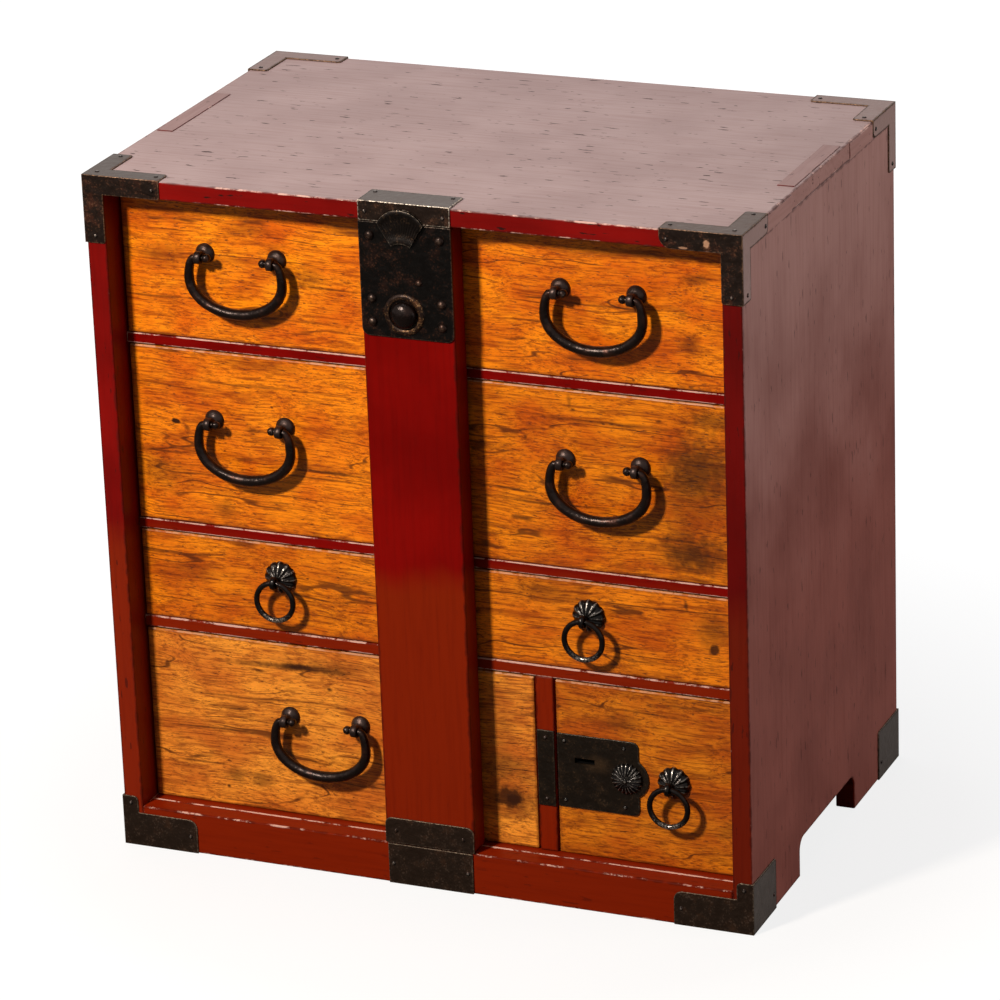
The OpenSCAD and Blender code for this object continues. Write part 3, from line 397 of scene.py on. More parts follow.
def drawer_wood(name, light, warm, dark, marks):
    """Clear-lacquered wood. marks are (x, z, half width, half height, darkness) in mm.

    A sixth number near 1 or above gives a knot its crisp edge.
    """
    material, add, place = new_material(name)
    wobble = add("TexNoise", {"Vector": place, "Scale": per_mm(90), "Detail": 2}, "Color")
    centred = add("VectorMath", {0: wobble, 1: (0.5, 0.5, 0.5)}, operation="SUBTRACT")
    swayed = add("VectorMath", {0: centred, 1: (30 * MM, 30 * MM, 9 * MM), 2: place},
                 operation="MULTIPLY_ADD")
    blotch = pattern(add, place, 22, 6, 0.62, "x", 1.8)
    fibres = pattern(add, swayed, 1.2, 4, 0.75, "x", 24)
    streaks = pattern(add, swayed, 5, 6, 0.7, "x", 30, (0.2, 0.6, 0.1))
    flecks = pattern(add, swayed, 1.8, 3, 0.7, "x", 4, (0.5, 0.3, 0.6))
    pores = pattern(add, swayed, 1, 2, 0.5, "x", 5, (0.4, 0.1, 0.2))
    pore = mask(add, pores, 0.63, 0.7, 0.75)
    colour = cover(add, warm, light, blotch, 0.3, 0.7)
    colour = cover(add, colour, dark, fibres, 0.45, 0.66, 0.75)
    colour = cover(add, colour, dark, streaks, 0.48, 0.66, 0.45)
    colour = cover(add, colour, dark, flecks, 0.5, 0.68, 0.48)
    colour = cover(add, colour, "#4a1f05", pore)

    sweep = pattern(add, swayed, 13, 1, 0.5, "x", HAIRLINE_RATIO, (0.7, 0.3, 0.9))
    crossing = add("Math", {0: sweep, 1: 0.5}, operation="SUBTRACT")
    distance = add("Math", {0: crossing}, operation="ABSOLUTE")
    faint = mask(add, pattern(add, place, 12, 3, 0.5, "x", 4), 0.45, 0.6, 0.8)
    colour = cover(add, colour, "#461a04", mask(add, distance, 0.018, 0.005, within=faint))

    rag = pattern(add, place, 4.5, detail=4)
    for spot in marks:
        colour = cover(add, colour, "#331504", mark(add, swayed, rag, *spot))
    darker_edge_and_highlight = edge_wear_and_highlight(add, rag)
    # The front is darker along its edges.
    colour = cover(add, colour, "#6e3410", darker_edge_and_highlight, 1.0, 1.7, 0.6)
    # Upward-facing edges get a pale painted highlight.
    turned = add("TexCoord", output="Normal")
    upward_highlight = mask(add, add("SeparateXYZ", {"Vector": turned}, "Z"), 0.1, 0.5, 0.5)
    colour = cover(add, colour, "#e8b088", mask(add, darker_edge_and_highlight, 1.4, 1.55, within=upward_highlight))
    grain = add("Math", {0: fibres, 1: pore}, operation="SUBTRACT")
    return finished(material, grain, strength=0.4, depth=0.22 * MM, inputs={
        "Base Color": colour, "Roughness": 0.38, "Specular IOR Level": 0.25})


print("hairlines are drawn out", HAIRLINE_RATIO, "times")

# %% [markdown]
# No two fronts are alike: each has its own tone, its knots, and stains where hands
# and damp reached it. They could be left to chance. Here they are placed one by one,
# in the chest's own coordinates, because they are what tells the drawers apart. One
# wide faint band high on the top right front is painted shade under the top board.

# %% Knots, stains and tones of the drawers
DRAWER_MARKS = {
    "top_left": [(-187, 418, 24, 14, 0.4), (-81, 410, 14, 10, 0.4), (-122, 438, 30, 6, 0.35),
                 (-68, 405, 34, 1.1, 0.7), (-190, 388, 40, 1.1, 0.6), (-100, 381, 60, 1, 0.5)],
    # The wide faint band at (150, 448) is painted shade under the top board.
    "top_right": [(188, 434, 13, 5, 0.6), (183, 392, 10, 8, 0.55), (150, 448, 60, 4, 0.35),
                  (120, 412, 70, 1.1, 0.6), (75, 396, 34, 1, 0.6), (100, 383, 50, 1, 0.5)],
    "second_left": [(-180, 303, 3.8, 2.4, 1, 1.1), (-172, 299, 3, 2, 0.7), (-195, 267, 26, 18, 0.4),
                    (-145, 243, 12, 9, 0.5), (-117, 348, 34, 5, 0.4), (-190, 280.5, 22, 1.3, 0.7),
                    (-73, 277, 40, 1.6, 0.8), (-80, 272, 36, 1, 0.6), (-120, 333, 80, 1.2, 0.5)],
    "second_right": [(188, 309, 34, 26, 0.7), (192, 343, 28, 9, 0.6), (184, 248, 32, 18, 0.78),
                     (186, 290, 40, 60, 0.45), (67, 263, 10, 1.9, 0.8), (101, 346, 2, 7, 0.45),
                     (156, 339, 2.4, 1.6, 0.8), (103, 341, 2.2, 1.5, 0.8), (71, 317, 2, 3, 0.6),
                     (125, 334, 90, 1.8, 0.5), (88, 274.5, 52, 1.2, 0.75),
                     (165, 257, 46, 1.1, 0.65), (60, 281, 30, 1, 0.6)],
    "small_left": [(-132, 219, 15, 4, 0.6), (-44, 220, 13, 3, 0.5), (-60, 205, 30, 1, 0.5),
                   (-170, 196, 30, 10, 0.3)],
    "small_right": [(81, 214, 36, 11, 0.4), (174, 214, 1.4, 5, 0.75), (194, 186, 3.8, 3.8, 0.9, 1),
                    (193, 200, 17, 18, 0.5), (130, 172, 60, 1.2, 0.5)],
    "wide": [(46, 95, 14, 60, 0.25), (55, 62, 24, 16, 0.55), (52, 62, 10, 7.5, 0.85, 1.1),
             (55, 61, 5, 4, 1, 1), (53, 84, 22, 12, 0.45), (30, 126, 14, 1.2, 0.6),
             (-105, 135.5, 56, 3.4, 0.75), (-100, 136, 13, 3.6, 1), (-76, 137, 28, 7, 0.45),
             (-149, 51, 12, 8, 0.55), (-130, 49, 13, 8, 0.5), (-156, 42, 2.2, 1.6, 0.9),
             (-78, 122, 2.8, 2, 0.85), (-120, 110, 80, 1.1, 0.6), (-165, 84, 40, 1.2, 0.65),
             (-172, 58, 34, 1.1, 0.6), (-62, 56, 24, 1.1, 0.6)],
    "lock": [(127, 127, 22, 10, 0.45), (183, 144, 26, 1.6, 0.6), (200, 60, 12, 8, 0.35),
             (150, 136, 60, 1.1, 0.5), (160, 56, 60, 1.1, 0.5)],
}
DRAWER_TONES = {
    "top_left": ("#ff950e", "#d86204", "#742202"),
    "top_right": ("#fc920d", "#d66204", "#742502"),
    "second_left": ("#fa8f0e", "#d26006", "#6e2102"),
    "second_right": ("#ee880b", "#c65804", "#661f02"),
    "small_left": ("#f48c0e", "#c85b05", "#682202"),
    "small_right": ("#f08810", "#c65a05", "#662002"),
    "wide": ("#fca034", "#d06e20", "#702b0a"),
    "lock": ("#e48616", "#b6540b", "#5e2002"),
}
drawer_front_wood = {
    drawer: drawer_wood("amber_lacquered_wood_" + drawer, *DRAWER_TONES[drawer], marks)
    for drawer, marks in DRAWER_MARKS.items()
}

# %% [markdown]
# Inside, the drawers are plain paulownia: a pale, light wood that is left unfinished,
# so it stays matt and darkens only where it is handled. Ring patterns from the Wave
# texture would repeat, so its straight close grain is stretched noise as well.

# %% Unfinished paulownia
def plain_wood(name, light, dark, along):
    """Pale matt wood with straight close grain along one axis."""
    material, add, place = new_material(name)
    rings = pattern(add, place, 5, 6, 0.65, along, 30)
    edge = add("Attribute", output="Fac", attribute_name="wear_and_highlight")
    colour = cover(add, light, dark, rings, 0.4, 0.68)
    colour = cover(add, colour, "#8c6a3e", pattern(add, place, 50, detail=3), 0.4, 0.8, 0.35)
    colour = cover(add, colour, "#7a5a36", edge, 0.5, 1.0, 0.3)
    return finished(material, rings, strength=0.3, depth=0.3 * MM, inputs={
        "Base Color": colour, "Roughness": 0.78})


paulownia_deep = plain_wood("unfinished_paulownia_deep", "#cfae78", "#a9814e", "y")
paulownia_across = plain_wood("unfinished_paulownia_across", "#cbaa74", "#a57d4b", "x")

# %% [markdown]
# The ironwork is hammered wrought iron, blackened with a tarry lacquer over the fire.
# It is nearly black, brown where it has rusted through, and grey and lighter on the
# edges: partly polished by hands and sleeves, partly a painted highlight. The irons on
# the case were partly lacquered over with the boards. A scanned image would give one
# plate its look, and one recipe with a few colours gives each iron its own age.

# %% Blackened wrought iron
BARE_METALLIC = 0.7


def veil_iron(add, iron, rubbed, blooms, veil):
    """Old lacquer over what faces up and sideways, and how metallic that leaves it."""
    facing = add("VectorMath", {0: add("TexCoord", output="Normal")}, operation="ABSOLUTE")
    front, level = (add("SeparateXYZ", {"Vector": facing}, axis) for axis in "YZ")
    bare = add("Math", {0: rubbed, 1: 0.5, 2: front}, operation="MULTIPLY_ADD")
    uneven = add("Math", {0: blooms, 1: 0.5, 2: bare}, operation="MULTIPLY_ADD")
    covered = mask(add, uneven, 1.0, 0.6, 0.92)
    metallic = add("MapRange", {"Value": covered, "To Min": BARE_METALLIC, "To Max": 0.0})
    coat = cover(add, veil[1], veil[0], level, 0.3, 0.7)
    return cover(add, iron, coat, covered), metallic


def blackened_iron(name, black, rust, polish_and_highlight, roughness, rust_share, specks=None, veil=None,
                   spots=()):
    """Forged iron with a black coat, rust blooms, and rubbed edges that carry a painted highlight.

    specks is a colour for grains of lighter rust. veil holds the colours of the faded
    lacquer that covers what faces up and sideways. spots are marks, each with a colour.
    """
    material, add, place = new_material(name)
    blooms = pattern(add, place, 9, 6, 0.65)
    grit = pattern(add, place, 1.3, detail=3)
    blows = pattern(add, place, 5, detail=1)
    colour = cover(add, black, rust, blooms, 0.5, 0.72, rust_share)
    if specks:
        rusty = mask(add, blooms, 0.42, 0.62, 0.8)
        colour = cover(add, colour, specks, mask(add, grit, 0.54, 0.66, within=rusty))
    rubbed = edge_wear_and_highlight(add, grit)
    # Lighter edges: polish from handling, with a painted highlight.
    colour = cover(add, colour, polish_and_highlight, rubbed, 1.25, 1.75, 0.8)
    for tint, *spot in spots:
        colour = cover(add, colour, tint, mark(add, place, grit, *spot))
    metallic = BARE_METALLIC
    if veil:
        colour, metallic = veil_iron(add, colour, rubbed, blooms, veil)
    dull = add("Math", {0: blooms, 1: 0.35, 2: roughness - 0.17}, operation="MULTIPLY_ADD")
    dents = add("Math", {0: grit, 1: 0.3, 2: blows}, operation="MULTIPLY_ADD")
    return finished(material, dents, strength=0.7, depth=0.7 * MM, inputs={
        "Base Color": colour, "Metallic": metallic, "Roughness": dull})


print("bare iron is", BARE_METALLIC, "metallic")

# %% [markdown]
# Each iron has aged in its own way: the corners have rusted and still carry old
# lacquer, the lock plate is black and the knob is polished. One iron on all of them
# would look cast, so the recipe is called once for each with its own colours.

# %% Irons of the case, the bar and the drawers
CHIP = "#c99a7c"
VEILS = {"left_front": ("#433a36", "#7c6560"), "left_back": ("#806a67", "#8c716b"),
         "right_front": ("#46362f", "#a3847d"), "right_back": ("#806a67", "#a3847d")}
CHIPS = {"right_front": ((CHIP, 202.4, 466.2, 2.2, 3, 0.95, 1.1),
                         (CHIP, 187, 462.4, 3.4, 0.8, 0.7, 1.2))}
corner_iron_black = {
    corner: blackened_iron("blackened_iron_" + corner, "#1c100a", "#4a2415", "#8a6a52", 0.46, 0.75,
                           specks="#60402e", veil=veil, spots=CHIPS.get(corner, ()))
    for corner, veil in VEILS.items()
}
foot_iron_black = blackened_iron("blackened_iron_feet", "#281b12", "#462c1a", "#7a6a5a", 0.46, 0.55,
                                 specks="#54443a", veil=("#4d4540", "#4d4540"))
strap_iron = blackened_iron("rusty_iron_strap", "#1e120b", "#402616", "#e0d2c2", 0.46, 0.8,
                            specks="#5c4030", veil=("#4b423e", "#625650"))
plate_iron = blackened_iron("blackened_iron_plates", "#1c140c", "#3a2814", "#4d463d", 0.42, 0.5,
                            specks="#463424", spots=(("#4c3824", 112, 96, 12, 8, 0.55),))
lock_plate_iron = blackened_iron("blackened_iron_lock_plate", "#040100", "#2c1208", "#5d4f45",
                                 0.38, 0.6, specks="#45291a")
crest_iron = blackened_iron("blackened_iron_crest", "#0e0704", "#2e180c", "#a0907e", 0.4, 0.6,
                            specks="#5a4430")
collar_iron = blackened_iron("rusty_iron_collar", "#1e0f08", "#5c3a20", "#7a5a3e", 0.42, 0.9,
                             specks="#a07c54")
knob_iron = blackened_iron("polished_iron_knob", "#160b08", "#3a2018", "#5e4c44", 0.28, 0.8)
stud_iron = blackened_iron("rusty_iron_studs", "#1e100a", "#442616", "#5e4c40", 0.34, 0.7)
seat_iron = blackened_iron("rusty_iron_seats", "#2e221f", "#4e3a33", "#9a8a82", 0.36, 0.7)
handle_iron = blackened_iron("forged_iron_handles", "#1a0f0c", "#43251a", "#b5aaa2", 0.3, 0.8)
ring_iron = blackened_iron("forged_iron_rings", "#140e0c", "#33201a", "#b5aaa2", 0.2, 0.5)
rosette_iron = blackened_iron("forged_iron_rosettes", "#0c0807", "#24170f", "#b3aca5", 0.22, 0.4)
inner_iron = blackened_iron("dull_iron_inside", "#15110f", "#2e2018", "#3c352f", 0.55, 0.7)
# Near black: painted shade for the walls of the key slot in the lock drawer.
keyhole_painted_shade = blackened_iron("painted_shade_keyhole", "#020101", "#070403", "#0a0706", 0.7, 0.5)
# The straps on the top take the same paler lacquer with a painted sheen.
lacquered_iron = lacquer("lacquer_over_iron", "y", ("#8a6e6c", "#967a78"), roughness=0.42, pits=0.5)

# %% [markdown]
# Every board starts as a cube that fills its solid's box. A plank could also be a
# face that is extruded, but nearly all boards of this chest are plain boxes. Each
# mesh has an edge attribute from the start, which the materials above read for
# rubbing and for painted edge highlights.

# %% Boxes
def start_bm():
    """An empty bmesh that holds the wear attribute."""
    bm = bmesh.new()
    # This edge value feeds both wear and painted edge highlights.
    bm.verts.layers.float.new("wear_and_highlight")
    return bm


def add_box(bm, lo, hi):
    """A cube scaled and moved to fill a box."""
    size = [hi[i] - lo[i] for i in range(3)]
    middle = [(hi[i] + lo[i]) / 2 for i in range(3)]
    place = Matrix.Translation(middle) @ Matrix.Diagonal((*size, 1))
    bmesh.ops.create_cube(bm, size=1, matrix=place)


top_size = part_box("top_board")[1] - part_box("top_board")[0]
print("top board in mm:", [round(v / MM, 1) for v in top_size])

# %% [markdown]
# No edge of an old chest is sharp, so all are beveled, by about a millimetre on wood
# and by less on iron. A Bevel modifier would do that too, but the rubbing and the
# painted edge highlights have to know where the edges are. So a band is inset along
# each broad face, and the edge value falls from one at the edge to nothing a few
# millimetres in.

# %% Eased edges
SHARP = math.radians(28)
ONE_PLANE = 0.9999
NARROW_FACE, BAND_SHARE = 2.6 * MM, 0.3
SMOOTH_SIDE = 4 * MM


def border(faces):
    """The edges where a group of faces ends."""
    group = set(faces)
    edges = dict.fromkeys(edge for face in faces for edge in face.edges)
    return [edge for edge in edges if sum(face in group for face in edge.link_faces) == 1]


def flat_groups(faces):
    """Groups the faces that touch and lie in one plane."""
    left, groups = dict.fromkeys(faces), []
    while left:
        group, rim = [], [left.popitem()[0]]
        while rim:
            face = rim.pop()
            group.append(face)
            for other in (f for edge in face.edges for f in edge.link_faces):
                if other in left and other.normal.dot(face.normal) > ONE_PLANE:
                    del left[other]
                    rim.append(other)
        groups.append(group)
    return groups


def ease(bm, radius, band, segments=2):
    """Rounds every sharp edge and marks how near each point is to one."""
    wear_and_highlight = bm.verts.layers.float["wear_and_highlight"]
    bmesh.ops.recalc_face_normals(bm, faces=bm.faces)
    bm.normal_update()
    sharp = [e for e in bm.edges if len(e.link_faces) == 2 and e.calc_face_angle() > SHARP]
    bmesh.ops.bevel(bm, geom=sharp, offset=radius, segments=segments, profile=0.5,
                    affect="EDGES", material=-1, clamp_overlap=True)
    bm.normal_update()
    for vert in bm.verts:
        vert[wear_and_highlight] = 1
    for group in flat_groups(bm.faces):
        rim_length = sum(edge.calc_length() for edge in border(group))
        width = 2 * sum(face.calc_area() for face in group) / rim_length
        if width < NARROW_FACE:
            continue
        bmesh.ops.inset_region(bm, faces=group, thickness=min(band, BAND_SHARE * width),
                               use_boundary=True, use_even_offset=True)
        for vert in (v for face in group for v in face.verts):
            vert[wear_and_highlight] = 0
    for face in bm.faces:
        face.smooth = face.calc_area() < SMOOTH_SIDE ** 2


def eased_box(lo, hi, radius, band, segments=2):
    """A box with eased edges."""
    bm = start_bm()
    add_box(bm, lo, hi)
    ease(bm, radius, band, segments)
    return bm


sample = eased_box((0, 0, 0), (100 * MM, 100 * MM, 10 * MM), radius=1 * MM, band=4 * MM)
print("an eased board has", len(sample.faces), "faces")
sample.free()

# %% [markdown]
# A finished mesh becomes a piece: an object that rides on the body it moves with and
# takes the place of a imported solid. These lines could follow every mesh, but with a
# hundred pieces one function keeps them alike.

# %% Pieces
def finish_piece(name, bm, material, body, node):
    """Turns a bmesh into a named piece that rides on a body and stands for a node."""
    mesh = bpy.data.meshes.new(name)
    bm.to_mesh(mesh)
    bm.free()
    mesh.materials.append(material)
    piece = new_object(name, mesh)
    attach(piece, body)
    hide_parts(node)
    print(f"{name}: {len(mesh.polygons)} faces, rides on {body}")
    return piece


def board(name, lo, hi, material, body, node, radius=0.6 * MM, band=4 * MM):
    """One board that fills a box."""
    finish_piece(name, eased_box(lo, hi, radius, band), material, body, node)


# %% [markdown]
# Joiners cut mortises and chisel pockets. Boolean modifiers could do that, but they
# leave ragged triangles round each hole. So a window is cut in the board's own faces
# along a few planes, and only the faces in it are pushed in.

# %% Mortises and pockets
CUT_MERGE, SAME_DEPTH = 0.001 * MM, 0.01 * MM


def cut_at(bm, axis, value):
    """Cuts every face at one plane across an axis."""
    place, normal = Vector(), Vector()
    place[axis], normal[axis] = value, 1
    bmesh.ops.bisect_plane(bm, geom=bm.verts[:] + bm.edges[:] + bm.faces[:], dist=CUT_MERGE,
                           plane_co=place, plane_no=normal)


def cut_window(bm, lo, hi, *ways):
    """Cuts faces along the sides of a box and returns the nearest in it that face each way."""
    across = [axis for axis in range(3) if abs(ways[0][axis]) < 0.5]
    for axis in across:
        cut_at(bm, axis, lo[axis])
        cut_at(bm, axis, hi[axis])
    bm.normal_update()
    found = []
    for way in map(Vector, ways):
        gaps = {}
        for face in bm.faces:
            away = face.calc_center_median() - (Vector(lo) + Vector(hi)) / 2
            inside = all(abs(away[axis]) < (hi[axis] - lo[axis]) / 2 for axis in across)
            if inside and face.normal.dot(way) > 0.9:
                gaps[face] = abs(away.dot(way))
        found += [face for face, gap in gaps.items() if gap < min(gaps.values()) + SAME_DEPTH]
    return found


def draw_out(bm, part, way=(0, 0, 0)):
    """Extrudes faces or edges, moves what grew and returns its points and edges."""
    if isinstance(part[0], bmesh.types.BMFace):
        grown = bmesh.ops.extrude_face_region(bm, geom=part)["geom"]
    else:
        grown = bmesh.ops.extrude_edge_only(bm, edges=part)["geom"]
    points = [item for item in grown if isinstance(item, bmesh.types.BMVert)]
    bmesh.ops.translate(bm, verts=points, vec=way)
    return points, [item for item in grown if isinstance(item, bmesh.types.BMEdge)]


def push_in(bm, faces, way):
    """Pushes faces into the board and returns the new ones."""
    points, _ = draw_out(bm, faces, way)
    bmesh.ops.delete(bm, geom=[f for f in faces if f.is_valid], context="FACES")
    return list(dict.fromkeys(face for vert in points for face in vert.link_faces))


def cut_through(bm, holes):
    """Takes out two windows that face away from each other and walls the gap."""
    rims = border(holes)
    bmesh.ops.delete(bm, geom=holes, context="FACES")
    bmesh.ops.bridge_loops(bm, edges=rims)
    bmesh.ops.recalc_face_normals(bm, faces=bm.faces)


print("a cut joins points nearer than", CUT_MERGE / MM, "mm")

# %% [markdown]
# A bored hole is round, so its window is only the room for it. A square pocket would
# be quicker, but it would show when the bar is drawn out. So a circle is bridged to
# the window's rim and drawn into the wood. A second helper finds the box of each
# separate solid in a node, such as the pins that such holes are for.

# %% Bored holes and separate solids
SAME_PLACE = 1e-6


def drill(bm, x, z, y, radius, depth):
    """A round blind hole in a face at y that looks to the front."""
    room = 1.25 * radius
    window = cut_window(bm, (x - room, 0, z - room), (x + room, 0, z + room), (0, -1, 0))
    rims = border(window)
    bmesh.ops.delete(bm, geom=window, context="FACES")
    place = Matrix.Translation((x, y, z)) @ Matrix.Rotation(math.pi / 2, 4, "X")
    made = bmesh.ops.create_circle(bm, cap_ends=False, radius=radius, segments=16,
                                   matrix=place)["verts"]
    circle = list(dict.fromkeys(edge for vert in made for edge in vert.link_edges))
    bmesh.ops.bridge_loops(bm, edges=rims + circle)
    _, edges = draw_out(bm, circle, (0, depth, 0))
    bmesh.ops.edgeloop_fill(bm, edges=[edge for edge in edges if edge.is_boundary])


def solid_boxes(node):
    """The lowest and highest corner of each separate solid in a CAD node."""
    bm = bmesh.new()
    bm.from_mesh(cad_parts[node].data)
    bmesh.ops.remove_doubles(bm, verts=bm.verts, dist=SAME_PLACE)
    left, boxes = set(bm.verts), []
    while left:
        rim, found = [left.pop()], []
        while rim:
            vert = rim.pop()
            found.append(vert.co.copy())
            for other in (edge.other_vert(vert) for edge in vert.link_edges):
                if other in left:
                    left.discard(other)
                    rim.append(other)
        boxes.append((Vector(map(min, zip(*found))), Vector(map(max, zip(*found)))))
    bm.free()
    return sorted(boxes, key=lambda b: tuple(round(v, 4) for v in (*b[0], *b[1])))


print("separate shelves:", len(solid_boxes("shelves")))

# %% [markdown]
# The side boards stand on the floor on two feet. They could be boxes with a notch
# cut out. Here their outline is drawn as a few points in the y and z plane, the two
# upper corners of the gap between the feet are rounded as vertices, and the face is
# extruded to the board's thickness, which keeps the faces large and clean.

# %% Side boards
FOOT_LENGTH, FOOT_GAP_HEIGHT, FOOT_GAP_RADIUS = 93 * MM, 26 * MM, 8 * MM

# The right board takes the lacquer with painted shade on its front.
for node, material in (("left_side", lacquer_side), ("right_side", lacquer_painted_shade)):
    lo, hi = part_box(node)
    gap_front, gap_back = lo.y + FOOT_LENGTH, hi.y - FOOT_LENGTH
    outline = [(lo.y, lo.z), (gap_front, lo.z), (gap_front, FOOT_GAP_HEIGHT),
               (gap_back, FOOT_GAP_HEIGHT), (gap_back, lo.z), (hi.y, lo.z), (hi.y, hi.z),
               (lo.y, hi.z)]
    bm = start_bm()
    corners = [bm.verts.new((lo.x, y, z)) for y, z in outline]
    bm.faces.new(corners)
    bmesh.ops.bevel(bm, geom=corners[2:4], offset=FOOT_GAP_RADIUS, segments=6, profile=0.5,
                    affect="VERTICES", material=-1)
    draw_out(bm, bm.faces[:], (hi.x - lo.x, 0, 0))
    ease(bm, radius=0.9 * MM, band=5 * MM)
    finish_piece(node + "_board", bm, material, "case", node)

# %% [markdown]
# The rest of the case is plain boards: the top over the sides, the rail, base, back
# and deck between them, and the shelves, divider and post that part the drawers. The
# top and the post have mortises for the bolts, and the deck has holes for the bar's
# pins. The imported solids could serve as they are, but their edges are sharp, so each
# is made again from its own box.

# %% Case boards
PLAY = Vector((0.35 * MM, 0.35 * MM, 0.35 * MM))
BOLT_THROW, BOLT_WIDTH, LOCK_X = 8 * MM, 14 * MM, -2 * MM
MORTISE_END = 1 * MM
PIN_HOLE, PIN_REACH = 2.3 * MM, 14.5 * MM

bolt_lo, bolt_hi = (v.copy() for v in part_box("bar_bolt"))
bolt_lo.x, bolt_hi.x = LOCK_X - BOLT_WIDTH / 2, LOCK_X + BOLT_WIDTH / 2
bolt_room = (bolt_lo - PLAY, bolt_hi + PLAY)
small_lo, small_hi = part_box("drawer_bolt")
small_bolt_room = (small_lo - PLAY, small_hi + PLAY)
for node, material in (("top_board", lacquer_top), ("front_rail", lacquer_front),
                       ("base_board", lacquer_shelf), ("back_panel", lacquer_side),
                       ("deck", lacquer_shelf), ("divider", lacquer_upright),
                       ("bay_post", lacquer_upright)):
    lo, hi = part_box(node)
    bm = eased_box(lo, hi, radius=0.8 * MM, band=4 * MM)
    if node == "top_board":
        push_in(bm, cut_window(bm, *bolt_room, (0, 0, -1)), (0, 0, BOLT_THROW + MORTISE_END))
    if node == "bay_post":
        push_in(bm, cut_window(bm, *small_bolt_room, (1, 0, 0)), (-BOLT_THROW, 0, 0))
    if node == "deck":
        for pin_lo, pin_hi in solid_boxes("bar_pins"):
            pin = (pin_lo + pin_hi) / 2
            drill(bm, pin.x, pin.z, lo.y, PIN_HOLE, PIN_REACH)
    finish_piece(node + "_wood", bm, material, "case", node)

for number, (lo, hi) in enumerate(solid_boxes("shelves"), 1):
    board(f"shelf_{number}", lo, hi, lacquer_shelf, "case", "shelves")

# %% [markdown]
# Each drawer is a thick front and four thin boards behind it. One hollow box would
# look the same from outside, but an open drawer shows its joints, so each board is a
# piece. The locking drawer's front also has a slot for the key, its walls painted
# near black as shade, and one for its bolt.

# %% Drawers
KEY_SLOT = ((96.3 * MM, face_y, 95.1 * MM), (110.3 * MM, face_y, 98.9 * MM))
KEY_SLOT_DEPTH = 9 * MM

for drawer in DRAWER_MARKS:
    body = drawer + "_drawer"
    lo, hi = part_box(drawer + "_front")
    bm = eased_box(lo, hi, radius=1.0 * MM, band=3 * MM)
    if drawer == "lock":
        # The key slot's walls take a near-black material, painted shade.
        for face in push_in(bm, cut_window(bm, *KEY_SLOT, (0, -1, 0)), (0, KEY_SLOT_DEPTH, 0)):
            face.material_index = 1
        slot = cut_window(bm, *small_bolt_room, (-1, 0, 0))
        push_in(bm, slot, (small_hi.x - lo.x + MORTISE_END, 0, 0))
    front = finish_piece(drawer + "_face", bm, drawer_front_wood[drawer], body,
                         drawer + "_front")
    if drawer == "lock":
        front.data.materials.append(keyhole_painted_shade)
    for number, (lo, hi) in enumerate(solid_boxes(drawer + "_box"), 1):
        wood = paulownia_deep if hi.y - lo.y > hi.x - lo.x else paulownia_across
        board(f"{drawer}_box_board_{number}", lo, hi, wood, body,
              drawer + "_box", band=2 * MM)

# %% [markdown]
# The locking bar is one lacquered board. Its back has a pocket for the iron lock
# case, which shows when the bar is drawn out. The pocket could be painted on, but it
# has to hold the case. So a window is cut in the back face and pushed in until only
# the skin in front of it is left, and a slot for the bolt leads from it through the
# top end.

# %% Locking bar
BAR_SKIN = 8.2 * MM
CASE_POCKET = ((-22.3 * MM, 0, 386.1 * MM), (18.3 * MM, 0, 438.7 * MM))

bar_lo, bar_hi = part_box("locking_bar")
bm = eased_box(bar_lo, bar_hi, radius=1.1 * MM, band=4 * MM, segments=3)
push_in(bm, cut_window(bm, *CASE_POCKET, (0, 1, 0)), (0, bar_lo.y + BAR_SKIN - bar_hi.y, 0))
cut_through(bm, cut_window(bm, *bolt_room, (0, 0, 1), (0, 0, -1)))
finish_piece("bar_board", bm, lacquer_bar, "bar", "locking_bar")

# %% [markdown]
# Sheet irons are cut with shears and bent over the corner. Three flat plates would
# leave open seams where they meet. So each iron starts as the three faces of a box
# at the case's corner. They are cut at the widths of the legs, the waste is deleted,
# the free ends are rounded, and what is left gets its thickness outwards. The left
# and back irons are mirror images.

# %% Bending the corner irons
IRON = 1.0 * MM
IRON_FRONT, IRON_SIDE, IRON_LEG, IRON_LEG_HEIGHT = 54 * MM, 46 * MM, 13.5 * MM, 45 * MM
FOOT_IRON_HEIGHT, FOOT_IRON_LOW = 36 * MM, 24 * MM
FOOT_IRON_LEG, FOOT_IRON_SIDE = 10.5 * MM, 43 * MM

case_lo = Vector((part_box("left_side")[0].x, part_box("left_side")[0].y, 0))
case_hi = Vector((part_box("right_side")[1].x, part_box("right_side")[1].y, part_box("top_board")[1].z))
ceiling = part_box("top_board")[0].z


def bent_sheet(lo, hi, cuts, keep, ends):
    """A sheet over the faces of a box that meet at its right front upper corner."""
    bm = start_bm()
    add_box(bm, lo, hi)
    for axis, value in cuts:
        cut_at(bm, axis, value)
    waste = [face for face in bm.faces if not keep(face.calc_center_median(), face.normal)]
    bmesh.ops.delete(bm, geom=waste, context="FACES")
    for place, radius in ends:
        near = min(bm.verts, key=lambda vert: (vert.co - Vector(place)).length)
        bmesh.ops.bevel(bm, geom=[near], offset=radius, segments=5, profile=0.5,
                        affect="VERTICES", material=-1)
    bmesh.ops.solidify(bm, geom=bm.faces[:], thickness=-IRON)
    return bm


def mirror_to(bm, left, behind):
    """Mirrors a right front iron to the left or the back of the case."""
    scale = Matrix.Diagonal((-1 if left else 1, -1 if behind else 1, 1, 1))
    middle = Matrix.Translation((0, case_lo.y + case_hi.y if behind else 0, 0))
    bmesh.ops.transform(bm, matrix=middle @ scale, verts=bm.verts)
    if left != behind:
        bmesh.ops.reverse_faces(bm, faces=bm.faces)


